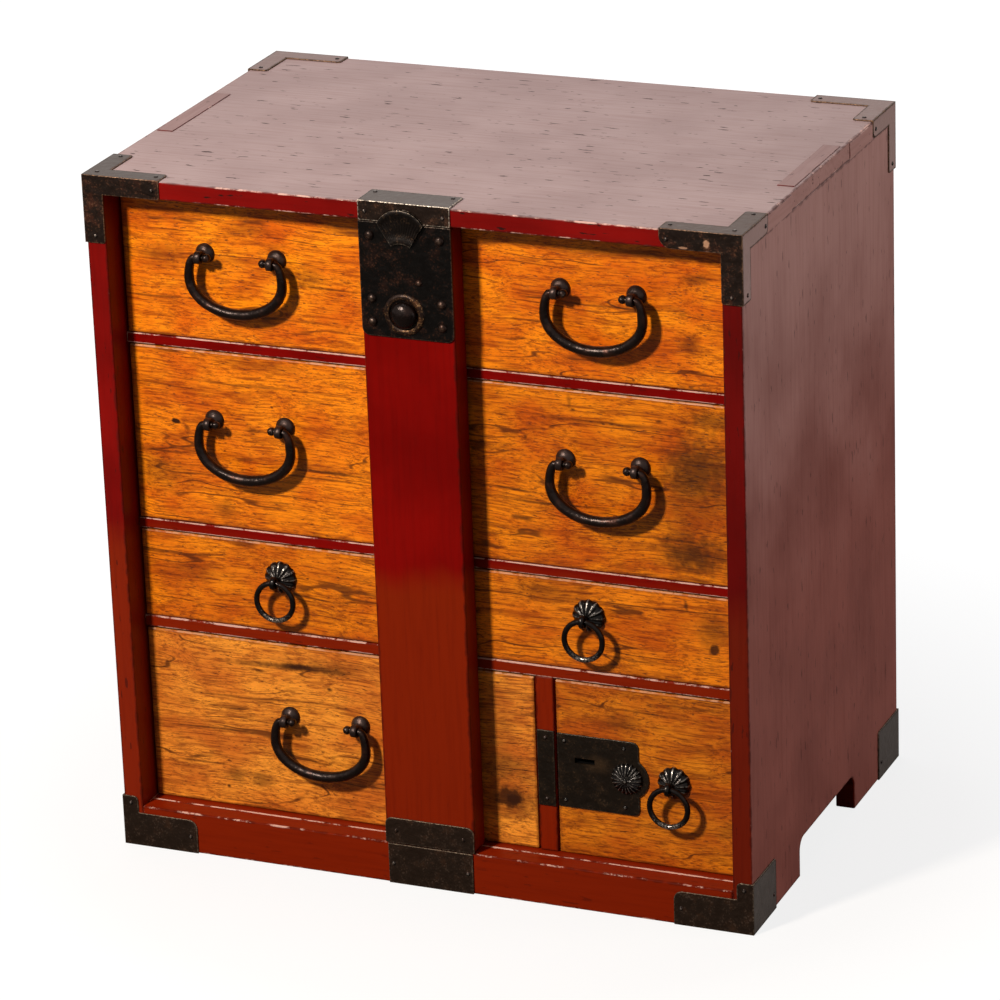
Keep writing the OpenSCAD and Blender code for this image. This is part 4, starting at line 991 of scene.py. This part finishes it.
def upper_kept(c, n):
    """Whether a face at c that looks along n belongs to an upper iron."""
    over, leg = c.z > ceiling, c.x > case_hi.x - IRON_LEG
    near = c.y < case_lo.y + IRON_LEG
    return ((n.y < -0.5 and (over or leg)) or (n.z > 0.5 and (near or leg))
            or (n.x > 0.5 and (over or near)))


def foot_kept(c, n):
    """Whether a face at c that looks along n belongs to a foot iron."""
    low, leg = c.z < FOOT_IRON_LOW, c.x > case_hi.x - FOOT_IRON_LEG
    return (n.y < -0.5 and (low or leg)) or n.x > 0.5


print("irons are", round(IRON / MM, 2), "mm thick")

# %% [markdown]
# The chest has an upper and a foot iron at each of its four corners. They could be
# eight outlines. As they differ only in their side, one loop bends a pair at the
# right front corner and mirrors it to its place. Only the front end of the upper
# right one sweeps up in a wide curve.

# %% Corner irons
SWEPT_END, ROUND_END = 8 * MM, 1.5 * MM

for side, left in (("left", True), ("right", False)):
    for depth, behind in (("front", False), ("back", True)):
        x, y = case_hi.x, case_lo.y
        leg_x, leg_y, top = x - IRON_LEG, y + IRON_LEG, case_hi.z
        lo = (x - IRON_FRONT, y, top - IRON_LEG_HEIGHT)
        hi = (x, y + IRON_SIDE, top)
        front_end = SWEPT_END if (side, depth) == ("right", "front") else ROUND_END
        ends = [((lo[0], y, ceiling), front_end), ((lo[0], leg_y, top), 2 * MM),
                ((leg_x, hi[1], top), 2 * MM), ((x, hi[1], ceiling), 5 * MM),
                ((leg_x, y, lo[2]), 2 * MM), ((x, leg_y, lo[2]), 2 * MM)]
        upper = bent_sheet(lo, hi, [(0, leg_x), (1, leg_y), (2, ceiling)], upper_kept, ends)
        leg_x = x - FOOT_IRON_LEG
        hi = (x, y + FOOT_IRON_SIDE, FOOT_IRON_HEIGHT)
        ends = [((lo[0], y, FOOT_IRON_LOW), 6 * MM), ((leg_x, y, hi[2]), 3 * MM), (hi, 2.5 * MM)]
        foot = bent_sheet((lo[0], y, 0), hi, [(0, leg_x), (2, FOOT_IRON_LOW)], foot_kept, ends)
        for kind, bm, material in (("upper", upper, corner_iron_black[f"{side}_{depth}"]),
                                   ("foot", foot, foot_iron_black)):
            mirror_to(bm, left, behind)
            ease(bm, radius=0.3 * MM, band=1.6 * MM)
            finish_piece(f"{kind}_iron_{side}_{depth}", bm, material, "case",
                         "corner_irons")

# %% [markdown]
# The keeper strap is bent over the front edge of the top, and the bar's bolt locks
# behind it. A bent strip with a hole would take a boolean. Instead its front leg is
# drawn as an outline with an arc left out for the crest, and its upper edge is
# extruded back over the top board.

# %% Keeper strap
PLATE = 1.2 * MM
CREST_MIDDLE = Vector((-2 * MM, 0, 451.9 * MM))
CREST_RADIUS = 18 * MM
CREST_LAP = 0.5 * MM


def arc(x, z, radius, first, last, steps):
    """Points (x, z) on an arc between two angles in degrees."""
    turns = [math.radians(first + (last - first) * i / steps) for i in range(steps + 1)]
    return [(x + radius * math.cos(a), z + radius * math.sin(a)) for a in turns]


strap_lo, strap_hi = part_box("keeper_strap")
strap_top = strap_hi.z - PLATE
notch = CREST_RADIUS - CREST_LAP
open_at = math.degrees(math.asin((ceiling - CREST_MIDDLE.z) / notch))
outline = [(strap_hi.x, ceiling), (strap_hi.x, strap_top), (strap_lo.x, strap_top),
           (strap_lo.x, ceiling)]
outline += arc(CREST_MIDDLE.x, CREST_MIDDLE.z, notch, 180 - open_at, open_at, 20)
bm = start_bm()
bm.faces.new([bm.verts.new((x, case_lo.y, z)) for x, z in outline])
top_edge = [e for e in bm.edges if all(abs(v.co.z - strap_top) < SAME_PLACE for v in e.verts)]
draw_out(bm, top_edge, (0, strap_hi.y - case_lo.y, 0))
bmesh.ops.recalc_face_normals(bm, faces=bm.faces)
if next(f for f in bm.faces if abs(f.normal.z) > 0.5).normal.z < 0:
    bmesh.ops.reverse_faces(bm, faces=bm.faces)
bmesh.ops.solidify(bm, geom=bm.faces[:], thickness=-PLATE)
ease(bm, radius=0.35 * MM, band=1.6 * MM)
finish_piece("keeper_iron", bm, strap_iron, "case", "keeper_strap")

# %% [markdown]
# Flat plates were filed square and then rounded at the corners that show. They could
# be drawn as outlines too. As their corners are their only curves, they are boxes
# whose corners are beveled before all edges are eased. The lacquered straps on the
# edges of the top are plain boards, only half a millimetre thin.

# %% Flat plates and straps
def plate(name, lo, hi, material, body, node, corners="", radius=5 * MM):
    """A thin plate facing front. corners is upper or lower for the ones to round."""
    bm = start_bm()
    add_box(bm, lo, hi)
    rounded = []
    for edge in bm.edges:
        a, b = (vert.co for vert in edge.verts)
        level = "upper" if a.z > (lo[2] + hi[2]) / 2 else "lower"
        if abs(a.y - b.y) > SAME_PLACE and level == corners:
            rounded.append(edge)
    if rounded:
        bmesh.ops.bevel(bm, geom=rounded, offset=radius, segments=6, profile=0.5,
                        affect="EDGES", material=-1)
    ease(bm, radius=0.3 * MM, band=1.8 * MM)
    finish_piece(name, bm, material, body, node)


plate("rail_iron", *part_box("rail_plate"), foot_iron_black, "case", "rail_plate")
plate("strike_iron", *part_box("strike_plate"), plate_iron, "case", "strike_plate")
plate("bar_foot_iron", *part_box("bar_foot_plate"), foot_iron_black, "bar", "bar_foot_plate", "upper")
for number, (lo, hi) in enumerate(solid_boxes("edge_straps"), 1):
    board(f"edge_strap_{number}", lo, hi, lacquered_iron, "case", "edge_straps",
          radius=0.2 * MM, band=1.2 * MM)

# %% [markdown]
# Nails, studs, seats, necks and the knob are round, forged in a die or filed by hand.
# Scaled spheres would have no rim and no neck. So each is a profile of a few points
# with a radius, a height and a wear, spun round an axis.

# %% Turned irons
OUT = Vector((0, -1, 0))


def lathe(bm, profile, centre, axis, steps=24, closed=False):
    """Spins (radius, height, wear) points round an axis and returns the new vertices."""
    wear_and_highlight = bm.verts.layers.float["wear_and_highlight"]
    axis = Vector(axis)
    side = axis.orthogonal().normalized()
    old = set(bm.verts)
    line = []
    for radius, height, rub in profile:
        vert = bm.verts.new(Vector(centre) + side * radius + axis * height)
        vert[wear_and_highlight] = rub
        line.append(vert)
    pairs = list(zip(line, line[1:])) + ([(line[-1], line[0])] if closed else [])
    edges = [bm.edges.new(pair) for pair in pairs]
    bmesh.ops.spin(bm, geom=line + edges, cent=centre, axis=axis, angle=math.tau, steps=steps,
                   use_merge=True)
    made = [vert for vert in bm.verts if vert not in old]
    bmesh.ops.remove_doubles(bm, verts=made, dist=SAME_PLACE)
    return [vert for vert in bm.verts if vert not in old]


def quarter_turn(rings):
    """Angles from a dome's rim to its top."""
    return [math.pi / 2 * i / rings for i in range(rings + 1)]


def dome(bm, centre, axis, radius, height, steps=10, rings=3):
    """A closed round head with its flat side on a surface."""
    profile = [(radius * math.cos(a), height * math.sin(a), math.sin(a))
               for a in quarter_turn(rings)]
    lathe(bm, [(0, 0, 0)] + profile, centre, axis, steps)


def finish_turned(name, bm, material, body, node):
    """Finishes a round iron: smooth, with only its true corners left sharp."""
    bmesh.ops.recalc_face_normals(bm, faces=bm.faces)
    for face in bm.faces:
        face.smooth = True
    piece = finish_piece(name, bm, material, body, node)
    piece.data.set_sharp_from_angle(angle=math.radians(50))


def heads(name, node, material, body, steps, rings):
    """Domes in place of a node's nail heads, each pointing away from the chest."""
    bm = start_bm()
    middle = (case_lo + case_hi) / 2
    for lo, hi in solid_boxes(node):
        size, centre = hi - lo, (lo + hi) / 2
        thin = min(range(3), key=lambda axis: size[axis])
        axis = Vector()
        axis[thin] = 1 if centre[thin] > middle[thin] else -1
        dome(bm, centre - axis * size[thin] / 2, axis, max(size) / 2, size[thin], steps, rings)
    finish_turned(name, bm, material, body, node)


heads("nail_heads", "case_nails", handle_iron, "case", steps=10, rings=3)
heads("bar_stud_heads", "bar_studs", stud_iron, "bar", steps=16, rings=5)

# %% [markdown]
# The bar's lock plate carries a raised collar with the domed knob in it. Fingers have
# polished the knob, so it is smoother than the plate. It turns in the collar, so the
# two are lathed as separate pieces and not as one profile.

# %% Lock plate, collar and knob
KNOB_Z = 400.4 * MM
COLLAR_RADIUS, COLLAR_WIDTH, COLLAR_HEIGHT = 14 * MM, 3.8 * MM, 1.4 * MM
KNOB_RADIUS, KNOB_HEIGHT, KNOB_ROUND, SPINDLE = 8.8 * MM, 5.3 * MM, 0.3 * MM, 3 * MM

plate_lo, plate_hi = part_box("bar_lock_plate")
plate_hi.y = plate_lo.y + COLLAR_HEIGHT + PLATE
plate_face = plate_hi.y - PLATE
plate("bar_lock_iron", (plate_lo.x, plate_face, plate_lo.z), plate_hi, lock_plate_iron, "bar",
      "bar_lock_plate", "lower")
bm = start_bm()
inner, outer = COLLAR_RADIUS - COLLAR_WIDTH, COLLAR_RADIUS
lathe(bm, [(inner, 0, 0), (inner, COLLAR_HEIGHT * 0.7, 0.4), (inner + 0.7 * MM, COLLAR_HEIGHT, 0.9),
           (outer - 1.6 * MM, COLLAR_HEIGHT, 0.7), (outer - 0.4 * MM, COLLAR_HEIGHT * 0.6, 0.2),
           (outer, 0, 0)], (LOCK_X, plate_face, KNOB_Z), OUT, steps=40, closed=True)
finish_turned("knob_collar", bm, collar_iron, "bar", "bar_lock_plate")

bm = start_bm()
knob_lo, knob_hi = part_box("bar_knob")
base_y = knob_lo.y + KNOB_HEIGHT + COLLAR_HEIGHT
crown = [(KNOB_RADIUS * math.cos(a), COLLAR_HEIGHT + KNOB_HEIGHT * math.sin(a), 0.5)
         for a in quarter_turn(7)]
lathe(bm, [(0, 0, 0), (KNOB_RADIUS - KNOB_ROUND, 0, 0), (KNOB_RADIUS, KNOB_ROUND, 0.4)] + crown,
      (LOCK_X, base_y, KNOB_Z), OUT, steps=36)
reach = knob_hi.y - base_y
lathe(bm, [(0, 0, 0), (SPINDLE, 0, 0), (SPINDLE, reach, 0), (0, reach, 0)],
      (LOCK_X, knob_hi.y, KNOB_Z), OUT, steps=16)
finish_turned("bar_knob_dome", bm, knob_iron, "bar_knob", "bar_knob")

# %% [markdown]
# The crest over the plate is a fan: an arc above, straight sides and a small arc
# below, fluted as if chased with a blunt chisel. A displacement could press the
# flutes into a flat fan, but its edge would fray. So it is a grid of arcs that are
# bridged one to the next, raised at its rims and fluted between them.

# %% Fan crest
CREST_POINT = Vector((-2 * MM, 0, 435.9 * MM))
CREST_SPREAD = math.atan2(31, 49)
CREST_EYE = 12 * MM
CREST_HEIGHT = 2.4
FLUTES, POINTS_PER_FLUTE = 15, 4
# Each arc is its share of the way up, its height in mm and the depth of its flutes.
CREST_ARCS = ((0, 2.1, 0), (0.12, 2.4, 0), (0.2, 1.7, 0), (0.34, 1.6, 0.25), (0.74, 1.6, 0.4),
              (0.84, 1.9, 0), (0.88, 2.4, 0), (0.97, 2.4, 0), (1, 2.1, 0))


def crest_reach(turn):
    """Distance from the crest's point to its upper arc, at an angle from upright."""
    rise = CREST_MIDDLE.z - CREST_POINT.z
    return rise * math.cos(turn) + math.sqrt(CREST_RADIUS ** 2 - (rise * math.sin(turn)) ** 2)


bm = start_bm()
wear_and_highlight = bm.verts.layers.float["wear_and_highlight"]
rows = []
columns = FLUTES * POINTS_PER_FLUTE
for share, height, fluted in CREST_ARCS:
    row = []
    for i in range(columns + 1):
        at_side = i in (0, columns)
        turn = CREST_SPREAD * (2 * i / columns - 1)
        reach = CREST_EYE + share * (crest_reach(turn) - CREST_EYE)
        wave = math.cos(math.tau * FLUTES * i / columns) * fluted
        rim = CREST_HEIGHT - height if at_side else 0
        x, z = CREST_POINT.x + reach * math.sin(turn), CREST_POINT.z + reach * math.cos(turn)
        vert = bm.verts.new((x, plate_face - (height + wave + rim) * MM, z))
        # Rims and sides are lightest: a painted highlight along them, partly rubbed bare.
        vert[wear_and_highlight] = 1 if share in (0, 1) or at_side else 0.3 + 0.5 * wave
        row.append(vert)
    rows.append([bm.edges.new(pair) for pair in zip(row, row[1:])])
for below, above in zip(rows, rows[1:]):
    bmesh.ops.bridge_loops(bm, edges=below + above)
for vert in draw_out(bm, [edge for edge in bm.edges if edge.is_boundary])[0]:
    vert.co.y = plate_face
    vert[wear_and_highlight] = 0.3
bmesh.ops.edgeloop_fill(bm, edges=[edge for edge in bm.edges if edge.is_boundary])
finish_turned("crest_fan", bm, crest_iron, "bar", "bar_crest")

# %% [markdown]
# A drop handle is a rod forged thick in the middle and thin at the ends, bent to
# shape over the anvil. A curve with a round bevel would give the bend but not the
# hammer's dents. So it is swept: a ring of points is extruded along the handle's
# line, turned with it and scaled to the rod's radius there.

# %% Sweeping a handle
SPAN, SPREAD, DROP, ARM_DROP = 51 * MM, 66 * MM, 36.5 * MM, 14 * MM
PIN_RADIUS, PIN_GAP, GRIP_RADIUS, EYE_WIDTH = 2 * MM, 0.3 * MM, 3.7 * MM, 4.5 * MM
SHOULDER = EYE_WIDTH / 2 + 0.65 * MM
ARM_SHARE, STEP_AHEAD = 0.2, 0.001
DENT_SIZE, DENT_DEPTH = 7, 0.09


def handle_line(t):
    """A point on the handle's middle line, from one hinge at 0 to the other at 1."""
    half, wide = SPAN / 2 + SHOULDER, SPREAD / 2
    if t < ARM_SHARE or t > 1 - ARM_SHARE:
        turn = math.radians(90 * min(t, 1 - t) / ARM_SHARE)
        x = half + (wide - half) * math.sin(turn)
        return Vector((-x if t < 0.5 else x, 0, ARM_DROP * (math.cos(turn) - 1)))
    turn = math.pi * (t - ARM_SHARE) / (1 - 2 * ARM_SHARE)
    return Vector((-wide * math.cos(turn), 0, -ARM_DROP - (DROP - ARM_DROP) * math.sin(turn)))


def handle_heading(t):
    """The line's direction, as a turn about y away from upright."""
    ahead = Vector((-1, 0, 0))
    if STEP_AHEAD <= t <= 1 - STEP_AHEAD:
        ahead = handle_line(t + STEP_AHEAD) - handle_line(t - STEP_AHEAD)
    return math.atan2(ahead.x, ahead.z)


def sweep_handle(bm, hinge, steps=36, sides=12):
    """Extrudes a ring along the handle's line."""
    wear_and_highlight = bm.verts.layers.float["wear_and_highlight"]
    end_radius = PIN_RADIUS + PIN_GAP
    ring, before = None, None
    for i in range(steps + 1):
        t = i / steps
        swell = math.sin(math.pi * t)
        place = hinge + handle_line(t)
        radius = end_radius + (GRIP_RADIUS - end_radius) * swell ** 0.8
        radius *= 1 + DENT_DEPTH * noise.noise(place * per_mm(DENT_SIZE)) * swell
        turned = Matrix.Rotation(handle_heading(t), 4, "Y") @ Matrix.Scale(radius, 4)
        now = Matrix.Translation(place) @ turned
        if ring is None:
            made = bmesh.ops.create_circle(bm, cap_ends=True, radius=1, segments=sides,
                                           matrix=now)["verts"]
            ring = bm.edges[:]
        else:
            made, grown = draw_out(bm, ring)
            ring = [edge for edge in grown if all(vert in made for vert in edge.verts)]
            bmesh.ops.transform(bm, matrix=now @ before.inverted(), verts=made)
        for vert in made:
            low = (place.z - vert.co.z) / radius
            vert[wear_and_highlight] = max(0, 0.35 + 0.5 * swell * low)
        before = now
    bmesh.ops.edgeloop_fill(bm, edges=ring)


print("handle hangs", round(DROP / MM, 1), "mm below its hinge")

# %% [markdown]
# Handles and rings hang from eyes on pins, which pass through the front and are
# clinched behind it. The part in the wood is hidden and could be left out, but an
# open drawer shows the bent ends, so each pin gets its shank.

# %% Eyes and clinched pins
FRONT_THICK = 12 * MM
SHANK_RADIUS, SHANK_BURIED = 1.6 * MM, 1 * MM
CLINCH_HALF, CLINCH_THICK = 6 * MM, 1.4 * MM


def add_clinch(bm, x, z):
    """A shank through the drawer front, bent over behind it."""
    behind = face_y + FRONT_THICK + CLINCH_THICK
    length = behind - face_y + SHANK_BURIED
    lathe(bm, [(0, 0, 0), (SHANK_RADIUS, 0, 0), (SHANK_RADIUS, length, 0), (0, length, 0)],
          (x, behind, z), OUT, steps=10)
    add_box(bm, (x - CLINCH_HALF, behind - CLINCH_THICK, z - SHANK_RADIUS),
            (x + CLINCH_HALF, behind, z + SHANK_RADIUS))


def add_eye(bm, centre, outer, bore, width):
    """A forged eye whose hole runs along x."""
    side, soft = width / 2, 0.45 * MM
    lathe(bm, [(bore, soft - side, 0), (bore + soft, -side, 0.3), (outer - soft, -side, 0.5),
               (outer, soft - side, 0.6), (outer, side - soft, 0.6), (outer - soft, side, 0.5),
               (bore + soft, side, 0.5), (bore, side - soft, 0)],
          centre, (1, 0, 0), steps=24, closed=True)


print("clinched ends are", round(2 * CLINCH_HALF / MM), "mm long")

# %% [markdown]
# A post stands on a round seat, and the handle's inner ends are balls that keep it
# in its eyes. One mesh for all would be simpler, but the handle lifts and the posts
# stay, so each drawer gets two pieces that ride on different bodies.

# %% Drop handles
HANGS_OUT, BALL_RADIUS, EYE_RADIUS, PIN_MERGE = 10 * MM, 2.9 * MM, 4.3 * MM, 2 * MM
# The seat's profile as radius and height in mm.
SEAT = [(6.8, 0), (6.75, 0.5), (6.2, 1.6), (5.1, 2.8), (3.9, 3.6), (2.9, 4.3), (2.5, 5.4),
        (2.6, 7.2)]

for drawer in ("top_left", "top_right", "second_left", "second_right", "wide"):
    lo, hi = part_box(drawer + "_bail")
    x = (lo.x + hi.x) / 2
    hinge = Vector((x, face_y - HANGS_OUT, lo.z + DROP + GRIP_RADIUS))
    ball = SPAN / 2 - EYE_WIDTH / 2 - PIN_GAP - BALL_RADIUS
    start = SPAN / 2 + SHOULDER + PIN_RADIUS / 2
    turns = [math.radians(-44 + 134 * i / 7) for i in range(8)]
    pin = [(0, 0, 0), (PIN_RADIUS, 0, 0), (PIN_RADIUS, start - ball - PIN_MERGE, 0)]
    pin += [(BALL_RADIUS * math.cos(a), start - ball + BALL_RADIUS * math.sin(a), 0.7)
            for a in turns]
    seat = [(0, 0, 0)] + [(r * MM, h * MM, 0.5 if h < 3 else 0.2) for r, h in SEAT]
    seat.append((0, SEAT[-1][1] * MM, 0))
    rod, posts = start_bm(), start_bm()
    sweep_handle(rod, hinge)
    for way in (-1, 1):
        lathe(rod, pin, hinge + Vector((way * start, 0, 0)), (-way, 0, 0), steps=16)
        post = Vector((x + way * SPAN / 2, face_y, hinge.z))
        lathe(posts, seat, post, OUT, steps=24)
        add_eye(posts, post + OUT * HANGS_OUT, EYE_RADIUS, PIN_RADIUS + PIN_GAP, EYE_WIDTH)
        add_clinch(posts, post.x, post.z)
    finish_turned(drawer + "_handle_rod", rod, handle_iron, drawer + "_handle", drawer + "_bail")
    finish_turned(drawer + "_handle_posts", posts, seat_iron, drawer + "_drawer", drawer + "_posts")

# %% [markdown]
# A ring pull hangs from an eyed pin that holds a fluted rosette to the drawer. A
# rosette could be built petal by petal. It is quicker and closed from the start if
# it is turned as a plain dome, and its petals are then pressed in by a formula:
# every point in a valley moves inwards and down.

# %% Fluted domes
RIM, PINCH, SINK, RIDGE_WEAR_AND_HIGHLIGHT_FALL = 1.1 * MM, 0.07, 0.3, 2.2


def fluted_dome(bm, centre, radius, height, flat, petals, per_petal):
    """A turned dome with petals. The flat is the radius of its plain middle."""
    wear_and_highlight = bm.verts.layers.float["wear_and_highlight"]
    profile = [(0, 0, 0), (radius, 0, 0)]
    profile += [(radius * f, RIM + (height - RIM) * (1 - f * f) ** 0.62, 0)
                for f in (1, 0.97, 0.9, 0.78, 0.62, 0.45)]
    profile += [(flat, height, 0), (0, height, 0)]
    for vert in lathe(bm, profile, centre, OUT, steps=petals * per_petal):
        away = vert.co - centre
        f = math.hypot(away.x, away.z) / radius
        valley = 1 - abs(math.cos(petals / 2 * math.atan2(away.z, away.x)))
        vert.co.x = centre.x + away.x * (1 - PINCH * f * valley)
        vert.co.z = centre.z + away.z * (1 - PINCH * f * valley)
        if -away.y > RIM:
            vert.co.y = centre.y - RIM - (-away.y - RIM) * (1 - SINK * f * valley)
        # Ridges are lightest: partly rubbed bare, partly a painted highlight along them.
        vert[wear_and_highlight] = max(0, 1 - RIDGE_WEAR_AND_HIGHLIGHT_FALL * valley)


print("valleys are pinched by", PINCH, "and sink by", SINK)

# %% [markdown]
# The ring is a wire bent round and closed. A torus would do for its shape. Here a
# small circle is spun round the ring's middle, and its wear is greatest at the
# bottom, where fingers pull. The ring moves and the rosette stays, so the two are
# separate pieces.

# %% Rosettes and rings
RING_RADIUS, WIRE, RING_OUT = 15 * MM, 1.9 * MM, 11.5 * MM
ROSETTE_RADIUS, ROSETTE_HEIGHT, ROSETTE_FLAT = 11.3 * MM, 6.4 * MM, 2.8 * MM
RING_EYE, RING_EYE_WIDTH, RING_GAP = 4.45 * MM, 3.4 * MM, 0.55 * MM

for drawer in ("small_left", "small_right", "lock"):
    ring_lo, ring_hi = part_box(drawer + "_ring")
    x, z = (ring_lo.x + ring_hi.x) / 2, ring_hi.z - WIRE
    bm = start_bm()
    fluted_dome(bm, Vector((x, face_y, z)), ROSETTE_RADIUS, ROSETTE_HEIGHT, ROSETTE_FLAT,
                petals=12, per_petal=8)
    neck = [(0, ROSETTE_HEIGHT, 0), (2.4 * MM, ROSETTE_HEIGHT, 0.3), (2.2 * MM, 8 * MM, 0.5),
            (0, 8.2 * MM, 0)]
    lathe(bm, neck, (x, face_y, z), OUT, steps=16)
    add_eye(bm, Vector((x, face_y - RING_OUT, z)), RING_EYE, WIRE + RING_GAP, RING_EYE_WIDTH)
    add_clinch(bm, x, z)
    finish_turned(drawer + "_flower", bm, rosette_iron, drawer + "_drawer", drawer + "_rosette")

    bm = start_bm()
    wear_and_highlight = bm.verts.layers.float["wear_and_highlight"]
    middle = Vector((x, face_y - RING_OUT, z - RING_RADIUS + WIRE))
    wire_at = Matrix.Translation(middle + Vector((RING_RADIUS - WIRE, 0, 0)))
    bmesh.ops.create_circle(bm, cap_ends=False, radius=WIRE, segments=12, matrix=wire_at)
    bmesh.ops.spin(bm, geom=bm.verts[:] + bm.edges[:], cent=middle, axis=(0, 1, 0), angle=math.tau,
                   steps=48, use_merge=True)
    for vert in bm.verts:
        vert[wear_and_highlight] = 0.5 + 0.5 * (middle.z - vert.co.z) / RING_RADIUS
    finish_turned(drawer + "_ring_wire", bm, ring_iron, drawer + "_pull", drawer + "_ring")

# %% [markdown]
# The lock of the small drawer has a plate with a round lobe, a finely fluted boss and
# four nails. A box and a disc would leave a seam across the plate. So its outline is
# one face of a few straight points and two kinds of arc, drawn out to its thickness,
# and the keyhole is cut through it.

# %% Drawer lock plate
BOSS_X, BOSS_Z, LOBE, PLATE_CORNER = 132.8 * MM, 89 * MM, 14.8 * MM, 4 * MM
lock_lo, lock_hi = Vector((84.3 * MM, 0, 63 * MM)), Vector((140.8 * MM, 0, 115 * MM))

meets = math.degrees(math.acos((lock_hi.x - BOSS_X) / LOBE))
outline = [(lock_lo.x, lock_hi.z), (lock_lo.x, lock_lo.z)]
outline += arc(lock_hi.x - PLATE_CORNER, lock_lo.z + PLATE_CORNER, PLATE_CORNER, -90, 0, 5)
outline += arc(BOSS_X, BOSS_Z, LOBE, -meets, meets, 14)
outline += arc(lock_hi.x - PLATE_CORNER, lock_hi.z - PLATE_CORNER, PLATE_CORNER, 0, 90, 5)
bm = start_bm()
bm.faces.new([bm.verts.new((px, face_y, pz)) for px, pz in outline])
draw_out(bm, bm.faces[:], (0, -PLATE, 0))
ease(bm, radius=0.3 * MM, band=1.8 * MM)
cut_through(bm, cut_window(bm, *KEY_SLOT, (0, -1, 0), (0, 1, 0)))
finish_piece("drawer_lock_iron", bm, plate_iron, "lock_drawer", "drawer_lock_plate")

# %% [markdown]
# The boss is fluted like the rosettes, but its petals are more and flatter. It could
# be a copy of one that is squashed. The same function gives cleaner petals with its
# own numbers. The four nails are small domes.

# %% Boss and nails of the drawer lock
BOSS_RADIUS, BOSS_HEIGHT, BOSS_FLAT = 10.9 * MM, 4.6 * MM, 2.4 * MM

bm = start_bm()
front = face_y - PLATE
fluted_dome(bm, Vector((BOSS_X, front, BOSS_Z)), BOSS_RADIUS, BOSS_HEIGHT, BOSS_FLAT,
            petals=20, per_petal=6)
dome(bm, (BOSS_X, front - BOSS_HEIGHT, BOSS_Z), OUT, radius=1.9 * MM, height=0.95 * MM)
for nail_x in (lock_lo.x + 5 * MM, lock_hi.x - 10 * MM):
    for nail_z in (lock_lo.z + 5 * MM, lock_hi.z - 5 * MM):
        dome(bm, (nail_x, front, nail_z), OUT, radius=1.6 * MM, height=0.8 * MM)
finish_turned("drawer_lock_boss", bm, rosette_iron, "lock_drawer", "drawer_lock_plate")

# %% [markdown]
# The lock cases, the bolts and the bar's pins are hidden, or show for a moment when
# the bar is drawn out. They could be made again like the rest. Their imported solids
# have the right shape, so they are kept and only get a material of dull iron.

# %% Hidden irons
for node in ("bar_lock_case", "bar_bolt", "bar_pins", "drawer_lock_case", "drawer_bolt"):
    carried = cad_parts[node]
    carried.data.materials.clear()
    carried.data.materials.append(inner_iron)
    print("kept solid:", node)
